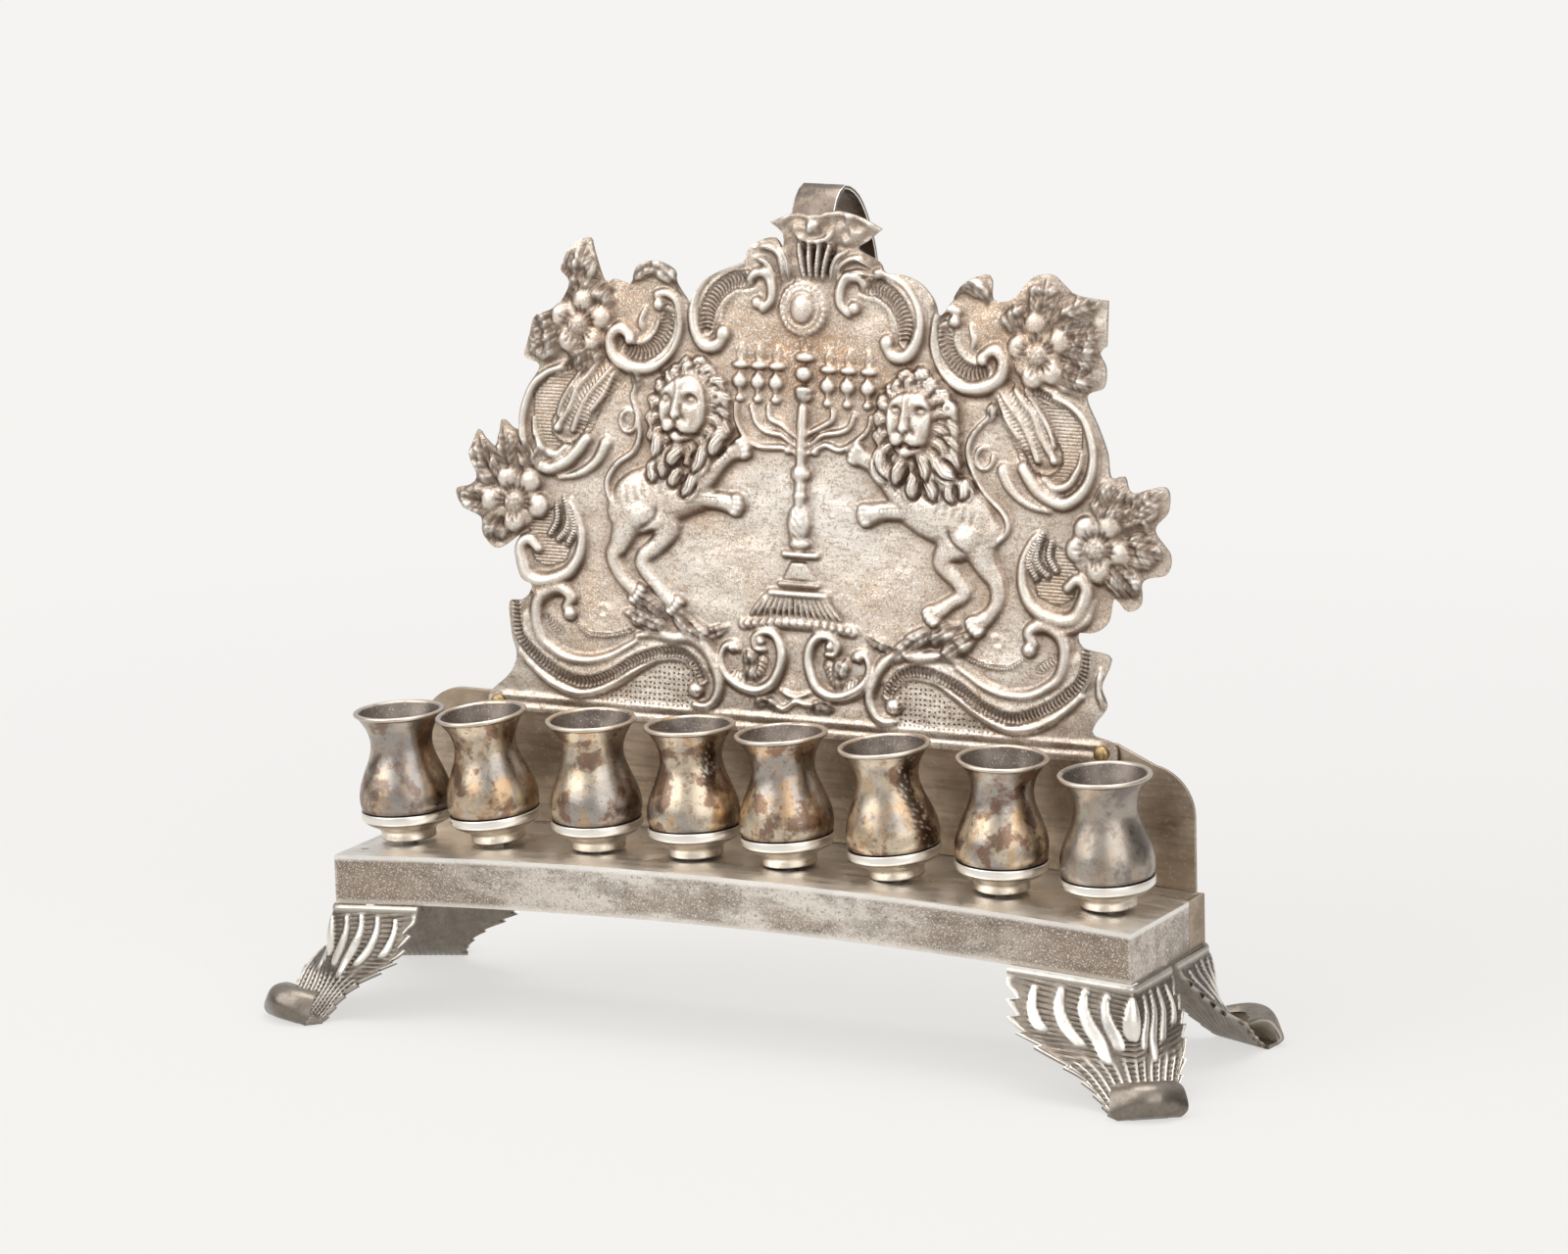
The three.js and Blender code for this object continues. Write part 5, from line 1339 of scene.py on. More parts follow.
def metal_recipes():
    """What each metal of the lamp is made of, by the name of its material."""
    silver, tarnish, recess = chosen("silver"), chosen("tarnish"), chosen("recess")
    return {
        # Sheet silver hammered from behind and chased in front: near white in a broad patch low in the
        # middle, warm with old tarnish on the ground, brown-grey in the lines and hollows. Its crests are
        # lighter, by wear and a painted highlight, and painted shade darkens a halo round the forms, their
        # steep sides, the sides that face right and down, and the crest's cornice.
        "embossed_sheet_silver": (
            silver,
            [
                ("cloud", 0.4, 0.68, 0.8, tarnish),
                ("warmth", 0.1, 1.0, 0.9, "#BF9368"),
                ("mottle", 0.5, 0.75, 0.4, "#C3A88C"),
                # Near white in a broad patch low in the middle.
                ("rubbed", 0.15, 0.9, 0.75, "#FAF4EC"),
                ("speck", 0.52, 0.62, 0.7, "#A38D78"),
                ("weave", 0.5, 0.62, 0.6, "#B09983"),
                ("dust", 0.52, 0.6, 0.85, "#FFFDF9"),
                # Painted shade round the forms.
                ("halo", 0.05, 0.9, 0.7, "#A38566"),
                # Painted shade on the steep sides of the forms.
                ("edge", 0.1, 1.0, 0.7, "#7C6553"),
                # Painted shade on the sides that face right and down.
                ("lee", 0.1, 0.9, 0.6, "#715B4A"),
                # Tarnish on the leaves and sides, and painted shade on the cornice.
                ("leafy", 0.0, 1.0, 0.75, "#867668"),
                # Wear and a painted highlight on the crests.
                ("crown", 0.05, 0.8, 0.85, "#FBF5EC"),
                ("recess", 0.02, 0.75, 0.95, recess),
                ("lines", 0.0, 1.0, 0.5, recess),
                ("dots", 0.0, 1.0, 0.85, recess),
            ],
            ("speck", 0.33, 0.52),
            [("patch", 0.5, 0.4), ("speck", 0.08, 0.7), ("lines", -0.25, 0.9), ("dots", -0.35, 0.9)],
        ),
        # Rolled sheet of the bench: silver-grey satin with faint streaks, fine bright and dark specks and
        # shallow dents from use, a painted highlight that is near white over the top and along the top
        # edge, and a pale painted highlight along the lower edge of the skirt.
        "rolled_sheet_silver": (
            "#E8DFD4",
            [
                ("ends", 0.04, 0.7, 0.9, "#978473"),
                ("ends", 0.984, 0.99, 0.5, "#E4DBD1"),
                ("long_patch", 0.48, 0.6, 0.7, "#978575"),
                ("worn", 0.48, 0.62, 0.6, "#86786B"),
                ("speck", 0.54, 0.64, 0.6, "#75675B"),
                ("dust", 0.54, 0.64, 0.85, "#F6F1EA"),
                # Painted highlight: near white over the top and down to 1.7 mm under its edge.
                ("bowed", BENCH_HIGH - 1.7, BENCH_HIGH - 0.9, 0.85, "#FBF7F0"),
                # Painted highlight: pale along the lower edge of the skirt.
                ("bowed", BENCH_HIGH - SKIRT_DEPTH + 1.5, BENCH_HIGH - SKIRT_DEPTH + 0.4, 0.7, "#F2ECE3"),
            ],
            ("streak", 0.25, 0.44),
            [("dents", 0.6, 0.5), ("speck", 0.08, 0.8)],
        ),
        # The rounded edges of the bench and the strap: a painted highlight, near white along the bevels.
        "edge_highlight_silver": (
            "#F0EBE3",
            [("mottle", 0.55, 0.75, 0.5, "#B9AFA3")],
            ("speck", 0.25, 0.45),
            [("speck", 0.06, 0.6)],
        ),
        # The wall is the same sheet left unpolished, browned by lamp smoke and grained lengthwise.
        "smoked_sheet_silver": (
            "#CDBCA7",
            [
                ("cloud", 0.38, 0.64, 0.75, "#8F7C69"),
                ("streak", 0.45, 0.7, 0.5, "#93806D"),
                ("grain", 0.48, 0.7, 0.3, "#5B4D41"),
                ("speck", 0.58, 0.7, 0.5, "#D8CBB9"),
            ],
            ("streak", 0.38, 0.55),
            [("grain", 0.02, 0.4), ("dents", 0.5, 0.5)],
        ),
        # Struck leaf silver of the feet: bright ribs, edges and toes, by wear and a painted highlight, grey
        # hatched bands with dirt between, and painted shade on the leaves' inner faces.
        "struck_leaf_silver": (
            "#A39A8F",
            [
                ("mottle", 0.4, 0.7, 0.6, "#81776C"),
                ("speck", 0.5, 0.72, 0.4, "#6E6459"),
                # Wear and a painted highlight on the ribs, edges and toe.
                ("crown", 0.0, 1.0, 1.0, "#F0EAE1"),
                # Dirt in the hatched bands, and painted shade on the leaves' inner faces.
                ("recess", 0.0, 1.0, 0.95, "#4F453C"),
                ("lines", 0.0, 1.0, 0.65, "#4F453C"),
            ],
            ("mottle", 0.24, 0.42),
            [("mottle", 0.15, 0.6), ("speck", 0.08, 0.7), ("lines", -0.2, 0.9)],
        ),
        # Raised silver of the fonts: burnished, with grey, brown and gold tarnish that ran down, scorched
        # blotches with pale flecks, a darkened foot where each stands in its dish, and a thin rim, rubbed
        # and painted with a highlight.
        "tarnished_raised_silver": (
            "#CBBCA6",
            [
                ("cloud", 0.46, 0.56, 0.75, "#94908F"),
                ("runs", 0.5, 0.62, 0.65, "#C19A6C"),
                ("patch", 0.52, 0.58, 0.85, "#7A5E4E"),
                ("mottle", 0.55, 0.63, 0.5, "#8C6A50"),
                ("speck", 0.58, 0.68, 0.5, "#6A5240"),
                ("dust", 0.6, 0.7, 0.4, "#E6DACA"),
                ("grey", 0.0, 1.0, 0.8, "#8F8B88"),
                ("blotch", 0.0, 1.0, 0.8, "#4A3D34"),
                # Wear and a painted highlight on the rim.
                ("crown", 0.0, 1.0, 0.85, "#CFC5B8"),
                ("fleck", 0.0, 1.0, 0.9, "#D9D4CC"),
            ],
            ("mottle", 0.25, 0.38),
            [("dents", 0.3, 0.5), ("speck", 0.04, 0.6)],
        ),
        # The inside of the fonts, dull with lamp soot and dotted with pale ash.
        "sooted_raised_silver": (
            "#7A7068",
            [("patch", 0.42, 0.62, 0.7, "#504843"), ("dust", 0.6, 0.68, 0.8, "#C4BAAE")],
            ("patch", 0.4, 0.6),
            [("speck", 0.1, 0.7)],
        ),
        # Raised silver of the dishes, rubbed brighter than the fonts, with wear and a painted highlight on
        # the band, and painted shade where the fonts sit in them and round their bottoms.
        "rubbed_raised_silver": (
            "#EAE1D5",
            [
                ("patch", 0.45, 0.66, 0.6, "#BBAA96"),
                ("speck", 0.58, 0.72, 0.6, "#806E5C"),
                # Wear and a painted highlight on the band.
                ("crown", 0.0, 1.0, 0.9, "#F3EEE6"),
                # Painted shade where the fonts sit and under the dishes.
                ("recess", 0.0, 1.0, 0.9, "#3A312A"),
            ],
            ("patch", 0.26, 0.42),
            [("dents", 0.3, 0.4), ("speck", 0.03, 0.6)],
        ),
        # Cut strip of the strap: brown-grey, scratched along its length.
        "filed_strip_silver": (
            "#80746A",
            [
                ("patch", 0.42, 0.62, 0.8, "#5A5047"),
                ("mottle", 0.5, 0.7, 0.6, "#A39585"),
                ("speck", 0.55, 0.7, 0.6, "#3F362E"),
            ],
            ("mottle", 0.25, 0.45),
            [("mottle", 0.15, 0.6), ("speck", 0.06, 0.7)],
        ),
        # Turned brass of the screws and nuts, dull with age.
        "dull_turned_brass": (
            "#B79C6E",
            [("mottle", 0.4, 0.66, 0.9, "#6B5940"), ("speck", 0.55, 0.7, 0.6, "#3F3428")],
            ("mottle", 0.3, 0.5),
            [("speck", 0.05, 0.6)],
        ),
    }


def finish_of(name):
    """The material of the given name, made once."""
    return bpy.data.materials.get(name) or worked_metal(name, *metal_recipes()[name])


# Bench, wall and strap follow the imported solids, with rounded edges that carry a painted highlight.


def worn_copy(node_name, piece_name, finish, edge_finish, bevel_mm, segments=3, angle=30):
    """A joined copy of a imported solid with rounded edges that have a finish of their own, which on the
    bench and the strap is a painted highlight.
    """
    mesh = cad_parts[node_name].data.copy()
    mesh.name = piece_name
    piece = linked(piece_name, mesh)
    only(piece)
    bpy.ops.object.mode_set(mode="EDIT")
    bpy.ops.mesh.select_all(action="SELECT")
    bpy.ops.mesh.remove_doubles(threshold=1e-6)
    bpy.ops.mesh.dissolve_limited(angle_limit=math.radians(0.4))
    bpy.ops.object.mode_set(mode="OBJECT")
    paint(piece, finish_of(finish))
    piece.data.materials.append(finish_of(edge_finish))
    bevel = piece.modifiers.new("rounded_highlight_edges", "BEVEL")
    bevel.width = bevel_mm * MM
    bevel.segments = segments
    # The bevels take the second material: a painted highlight on the bench and the strap.
    bevel.material = 1
    bevel.limit_method = "ANGLE"
    bevel.angle_limit = math.radians(angle)
    bevel.use_clamp_overlap = True
    bpy.ops.object.modifier_apply(modifier=bevel.name)
    bpy.ops.object.shade_smooth_by_angle(angle=math.radians(35))
    return piece


class LAMP_OT_bench(bpy.types.Operator):
    """Builds the tray bench and the splash wall with softened edges, painted with a highlight"""

    bl_idname = "lamp.bench"
    bl_label = "Bench and wall"

    def execute(self, context):
        edge = context.scene.lamp_sizes.worn_edge
        tray = worn_copy("bench_tray", "sheet_bench", "rolled_sheet_silver", "edge_highlight_silver", edge)
        stands_for(tray, "lamp_body", "bench_silver", "bench_tray")
        # The wall's rounded edges take the bench's sheet, which at this height is near white: a painted
        # highlight.
        wall = worn_copy("splash_wall", "sheet_wall", "smoked_sheet_silver", "rolled_sheet_silver", 0.3)
        stands_for(wall, "lamp_body", "wall_silver", "splash_wall")
        return {"FINISHED"}


class LAMP_OT_strap(bpy.types.Operator):
    """Builds the hanging strap with filed, rounded edges, painted with a highlight"""

    bl_idname = "lamp.strap"
    bl_label = "Hanging strap"

    def execute(self, context):
        strap = worn_copy(
            "hanger_strap", "rolled_strap", "filed_strip_silver", "edge_highlight_silver", 0.25, 2, 50,
        )
        stands_for(strap, "lamp_body", "strap_silver", "hanger_strap")
        return {"FINISHED"}


# Leaf feet


TOE_WIDTH = 19.0
TOE_RADIUS = 4.2
TOE_NOSE = 4.5
TOE_CUP = 0.32
FOOT_REACH = 16.5
FOOT_END_SPREAD = 22.0
FOOT_ROWS = 190
FOOT_COLUMNS = 121
CORNER_BOW = 1.5
TOE_BOW = 7.0
# Reach, height, front and side spread as shares, and how far the halves have turned out.
FOOT_STATIONS = [
    (0, 1, 1, 1, 0), (0.07, 0.86, 1.01, 0.99, 0.04), (0.12, 0.72, 1, 0.96, 0.15),
    (0.14, 0.59, 0.95, 0.87, 0.28),
    (0.19, 0.46, 0.76, 0.75, 0.44), (0.3, 0.3, 0.5, 0.58, 0.82), (0.46, 0.18, 0.39, 0.5, 0.94),
    (0.66, 0.075, 0.32, 0.44, 1),
]
TOE_STATIONS = [(-90, 0.84), (-40, 1), (5, 0.98), (50, 0.9), (95, 0.74), (140, 0.52)]
# The end and side of each foot's corner, its front spread, share of the reach and turn in degrees.
CORNERS = {
    "front_left": (-1, -1, 26.0, 0.88, 66.0),
    "front_right": (1, -1, 34.0, 1.12, 55.0),
    "rear_left": (-1, 1, 30.0, 0.95, 68.0),
    "rear_right": (1, 1, 31.0, 0.9, 66.0),
}
# Bright ribs of half a leaf: place across it, width, and the stations where each starts and ends.
FOOT_RIBS = (
    (0.19, 0.032, 0.5, 4.4), (0.36, 0.036, 0.4, 5.0), (0.55, 0.034, 0.5, 4.2),
    (0.76, 0.034, 0.6, 3.4),
)


def foot_stations(spread, reach, top):
    """Reach, height, front and side spread, turn, cup and nose of each station down to the toe."""
    half = TOE_WIDTH / 2
    rows = []
    for out, height, front, side, turned in FOOT_STATIONS:
        wide, deep = max(front * spread, half), max(side * FOOT_END_SPREAD, half)
        rows.append((out * reach, max(height * top, SHEET / 2), wide, deep, turned, 0, 0))
    rows.append((reach - TOE_RADIUS / 2, SHEET / 2, half, half, 1, 0, 0))
    for turn, taper in TOE_STATIONS:
        ahead = reach + TOE_RADIUS / 2 + TOE_RADIUS * math.cos(math.radians(turn))
        lift = 1 + math.sin(math.radians(turn))
        nose = TOE_NOSE * float(smooth_step(1 + turn / 90))
        rows.append(
            (ahead, SHEET / 2 + TOE_RADIUS * lift, half * taper, half * taper, 1, TOE_CUP * lift / 2, nose)
        )
    return np.array(rows)


def foot_surface(name):
    """The middle surface of a leaf foot as a grid, with its shares across and its stations down."""
    end, rear, spread, reach_share, turn = CORNERS[name]
    reach = FOOT_REACH * reach_share
    out_turn = math.radians(turn)
    top = BENCH_TOP - SKIRT_DEPTH - GAP
    stations = foot_stations(spread, reach, top)
    along = np.linspace(0, len(stations) - 1, FOOT_ROWS)
    padded = np.vstack([2 * stations[0] - stations[1], stations, 2 * stations[-1] - stations[-2]])
    share = np.linspace(-1, 1, FOOT_COLUMNS)
    corner = np.array([end * BENCH_LENGTH / 2, rear * BENCH_DEPTH / 2])
    roll_reach, roll_height = reach + TOE_RADIUS / 2, SHEET / 2 + TOE_RADIUS
    grid = np.empty((FOOT_ROWS, FOOT_COLUMNS, 3))
    for k, place in enumerate(along):
        i = min(int(place), len(stations) - 2)
        out, height, front, side, turned, cup, nose = curve_point(*padded[i : i + 4], place - i)
        height = max(height, SHEET / 2)
        turned = min(max(turned, 0.0), 1.0)
        bow = CORNER_BOW + (TOE_BOW - CORNER_BOW) * turned
        front_turn = math.pi + turned * (math.pi / 2 - out_turn)
        side_turn = math.pi / 2 - turned * out_turn
        tooth = 0.1 * ((place * 1.25) % 1) * smooth_step((place - 0.8) * 2) * smooth_step((8.4 - place) * 2)
        s = share * np.where(share < 0, front, side) * (
            1 - tooth * smooth_step((np.abs(share) - 0.82) / 0.18)
        )
        to_front = (np.hypot(s, bow) - s) / 2 - bow / 2
        to_side = (np.hypot(s, bow) + s) / 2 - bow / 2
        cupped = cup * share**2
        ahead = out + cupped * (roll_reach - out) - nose * share**2
        x = ahead * math.cos(out_turn) + to_front * math.cos(front_turn) + to_side * math.cos(side_turn)
        y = -ahead * math.sin(out_turn) - to_front * math.sin(front_turn - math.pi) + to_side * math.sin(
            side_turn
        )
        grid[k, :, 0] = corner[0] + end * x
        grid[k, :, 1] = corner[1] - rear * y
        hang = smooth_step((height / top - 0.5) * 2)
        hung = hang * (camber_at(grid[k, :, 0]) - camber_at(corner[0]))
        grid[k, :, 2] = height + cupped * (roll_height - height) + hung
    if end * rear > 0:
        return grid[:, ::-1], share[::-1], along
    return grid, share, along


def leaf_relief(share, station):
    """Relief of a foot's leaf: bright ribs that fan out from the corner, hatched bands between."""
    u, s = np.meshgrid(share, station)
    a = np.abs(u)
    body = smooth_step((s - 0.35) / 0.3) * smooth_step((8.2 - s) / 1.4)
    # The ribs, the drop, the border, the leaf's edges and the toe are lightened: wear and a painted
    # highlight.
    rise, crown = np.zeros(u.shape), np.zeros(u.shape)
    for place, width, head, tail in FOOT_RIBS:
        run = smooth_step((s - head) / 0.4) * smooth_step((tail - s) / 0.7)
        bent = place + 0.035 * np.sin(1.5 * (s - head))
        wide = width * (0.6 + 0.8 * smooth_step((s - head) / 3))
        rib = np.clip(1 - ((a - bent) / (wide * 1.5)) ** 2, 0, 1) ** 0.6 * run
        rise = np.maximum(rise, rib)
        crown = np.maximum(crown, smooth_step((rib - 0.25) * 2))
    low_ribs = (0.5 + 0.5 * np.cos(a * 42)) ** 2 * smooth_step((s - 4.2) / 0.8) * smooth_step(
        (8.2 - s) / 0.8
    )
    rise = np.maximum(rise, 0.7 * low_ribs)
    crown = np.maximum(crown, 0.6 * low_ribs)
    drop = np.clip(1 - ((s - 2.1) / 1.5) ** 2 - (a / (0.09 + 0.02 * (s - 2))) ** 2, 0, 1) ** 0.5
    border = np.exp(-(((s - 0.2) / 0.14) ** 2))
    edge = smooth_step((a - 0.93) / 0.05) * body
    rise = np.maximum.reduce([rise, 1.5 * drop, 0.6 * border, 0.5 * edge])
    crown = np.maximum.reduce([crown, smooth_step(drop * 2), 0.5 * border, 0.5 * edge])
    toe = smooth_step((s - 8.6) / 1.0)
    crown = np.maximum(crown, 0.6 * toe)
    lined = body * (rise < 0.3) * (0.55 + 0.45 * np.sin(a * 19))
    recess = np.clip(body * (0.62 - rise), 0, 1)
    return {"rise": rise, "crown": crown, "recess": recess, "lined": lined, "phase": 3.4 * s + 2.5 * a}


def sheet_of(grid, relief, thickness):
    """A closed sheet round a grid of points, its front raised by the relief."""
    rows, columns, _ = grid.shape
    normal = np.cross(np.gradient(grid, axis=0), np.gradient(grid, axis=1))
    normal /= np.maximum(np.linalg.norm(normal, axis=2)[..., None], 1e-9)
    front = grid + normal * (thickness / 2 + relief * 0.5)[..., None]
    back = grid - normal * (thickness / 2 - relief * 0.3)[..., None]
    places = np.concatenate([front.reshape(-1, 3), back.reshape(-1, 3)])
    places[:, 2] = np.where(places[:, 2] < 0.12, 0, places[:, 2])
    count = rows * columns
    index = np.arange(count).reshape(rows, columns)
    a, b = index[:-1, :-1].ravel(), index[:-1, 1:].ravel()
    c, d = index[1:, 1:].ravel(), index[1:, :-1].ravel()
    faces = [tuple(f) for f in np.stack([a, b, c, d], 1)]
    faces += [tuple(f) for f in np.stack([d + count, c + count, b + count, a + count], 1)]
    rim = list(index[0, :]) + list(index[1:, -1]) + list(index[-1, -2::-1]) + list(index[-2:0:-1, 0])
    for i in range(len(rim)):
        j = (i + 1) % len(rim)
        faces.append((rim[j], rim[i], rim[i] + count, rim[j] + count))
    return places, faces


class LAMP_OT_feet(bpy.types.Operator):
    """Strikes the leaf feet: ribbed leaves folded round the corners, with rolled toes"""

    bl_idname = "lamp.feet"
    bl_label = "Leaf feet"

    def execute(self, context):
        for name in CORNERS:
            grid, share, station = foot_surface(name)
            relief = leaf_relief(share, station)
            points, faces = sheet_of(grid, relief.pop("rise"), SHEET)
            box = np.array(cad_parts["foot_" + name].bound_box)
            points = np.clip(placed(points), box.min(0), box.max(0))
            foot = mesh_piece("leaf_foot_" + name, points, faces, smooth_angle=60)
            for field, values in relief.items():
                # The leaf's back, its inner face, gets 0.4 of the dark tone of the hatched bands: painted
                # shade under the bench.
                quiet = np.full(values.size, 0.4 if field == "recess" else 0.0)
                float_attribute(foot, field, np.concatenate([values.ravel(), quiet]))
            paint(foot, finish_of("struck_leaf_silver"))
            stands_for(foot, "lamp_body", "foot_silver", "foot_" + name)
        return {"FINISHED"}


# Fonts and their dishes, each turned about its own leaning axis


FONT_STRAYS = (0.03, -0.03, 0, -0.01, -0.07, -0.01, 0.01, 0.04)
FONT_SIDE_LEANS = (2.4, 5, 1, 1.5, 2.4, 3.4, -2.4, 0)
FONT_FRONT_LEANS = (1, 4, 2, 0, 1, 3, 2, 2.8)
FONT_ROW_INSET = 13.2
FONT_PITCH = (BENCH_LENGTH - 2 * FONT_ROW_INSET) / 7
FONT_ROW_SHIFT = -2.4
FONT_ROW_Y = -3.6
FOOT_TUBE_RADIUS = 7.1
# Scorched places by font: bearing in degrees, height in millimetres, and half width and height.
BLOTCHES = {3: [(-30, 25, 16, 6)], 5: [(-28, 26, 15, 7), (-20, 15, 13, 6), (-12, 8, 12, 3)]}
# How grey a font's tarnish is, for the ones that are not brown.
GREY_FONTS = {0: 0.35, 7: 0.75}


def font_places():
    """The leaning frame of each font and its dish, in the lamp's millimetres."""
    places = []
    for i, stray in enumerate(FONT_STRAYS):
        x = (i - 3.5 + stray) * FONT_PITCH + FONT_ROW_SHIFT
        side, front = math.radians(FONT_SIDE_LEANS[i]), math.radians(FONT_FRONT_LEANS[i])
        slope = math.atan(2 * BENCH_CAMBER * x / (BENCH_LENGTH / 2) ** 2)
        tilt = math.hypot(side - slope, front)
        z = BENCH_TOP + float(camber_at(x)) + GAP + FOOT_TUBE_RADIUS * math.sin(tilt)
        turn = Matrix.Rotation(front, 4, "X") @ Matrix.Rotation(-side, 4, "Y")
        places.append(Matrix.Translation((x, FONT_ROW_Y, z)) @ turn)
    return places


def spun(name, profile, segments=96):
    """A vessel spun from a profile of (radius, height) in millimetres that starts and ends on the
    axis, as an object whose mesh is still in millimetres."""
    mesh = bpy.data.meshes.new(name)
    count = len(profile)
    mesh.from_pydata([(r, 0, z) for r, z in profile], [(i, i + 1) for i in range(count - 1)], [])
    vessel = linked(name, mesh)
    only(vessel)
    bpy.ops.object.mode_set(mode="EDIT")
    bpy.ops.mesh.select_all(action="SELECT")
    bpy.ops.mesh.spin(
        steps=segments, angle=2 * math.pi, center=(0, 0, 0), axis=(0, 0, 1), use_auto_merge=True,
    )
    bpy.ops.mesh.select_all(action="SELECT")
    bpy.ops.mesh.remove_doubles(threshold=0.0005)
    bpy.ops.mesh.normals_make_consistent(inside=False)
    bpy.ops.object.mode_set(mode="OBJECT")
    bpy.ops.object.shade_smooth_by_angle(angle=math.radians(50))
    return vessel


FONT_OUTSIDE = [
    (11.7, 8.0), (12.0, 8.9), (12.2, 10.4), (12.1, 12.4), (11.5, 15.0), (10.3, 18.2), (9.0, 21.4),
    (8.25, 24.4),
    (8.35, 27.0), (9.1, 29.4), (10.3, 31.5), (11.1, 32.7),
]
FONT_RIM = [
    (11.35, 33.05), (11.75, 33.1), (12.02, 33.3), (12.1, 33.6), (12.0, 33.92), (11.7, 34.15), (11.3, 34.2),
    (10.9, 34.05), (10.6, 33.6),
]
FONT_WALL = 0.7
DISH_PROFILE = [
    (0, -8), (1.7, -8), (2, -7.6), (2, 0), (7.1, 0), (7.25, 0.15), (7.25, 0.5), (7.2, 1.4), (7.4, 2.2),
    (7.9, 2.8), (8.8, 3.3), (9.8, 3.8), (10.8, 4.4), (11.5, 5.05), (11.8, 5.4), (12.05, 5.62),
    (12.1, 5.9), (12.1, 7.4), (12.0, 7.62), (11.75, 7.7), (11.25, 7.68), (11.1, 7.5), (9.6, 6.3),
    (6.8, 5.65), (0, 5.1),
]


def font_profile():
    outside = [tuple(p) for p in curve_through(FONT_OUTSIDE, 44)]
    inside = [(r - FONT_WALL, z + 0.1) for r, z in reversed(outside[1:-1])]
    bottom = [(0, 5.95), (4, 6.15), (6.8, 6.5), (9.3, 7.2), (10.4, 7.85), (11.3, 7.95)]
    floor = [(10.9, 8.7), (9.5, 8.2), (6.8, 7.2), (4, 6.9), (0, 6.7)]
    return bottom + outside + FONT_RIM + inside + floor


def cylindrical(mesh):
    """The points of a mesh, with their distance from the Z axis and their bearing round it."""
    co = np.empty(len(mesh.vertices) * 3)
    mesh.vertices.foreach_get("co", co)
    co = co.reshape(-1, 3)
    return co, np.hypot(co[:, 0], co[:, 1]), np.arctan2(co[:, 1], co[:, 0])


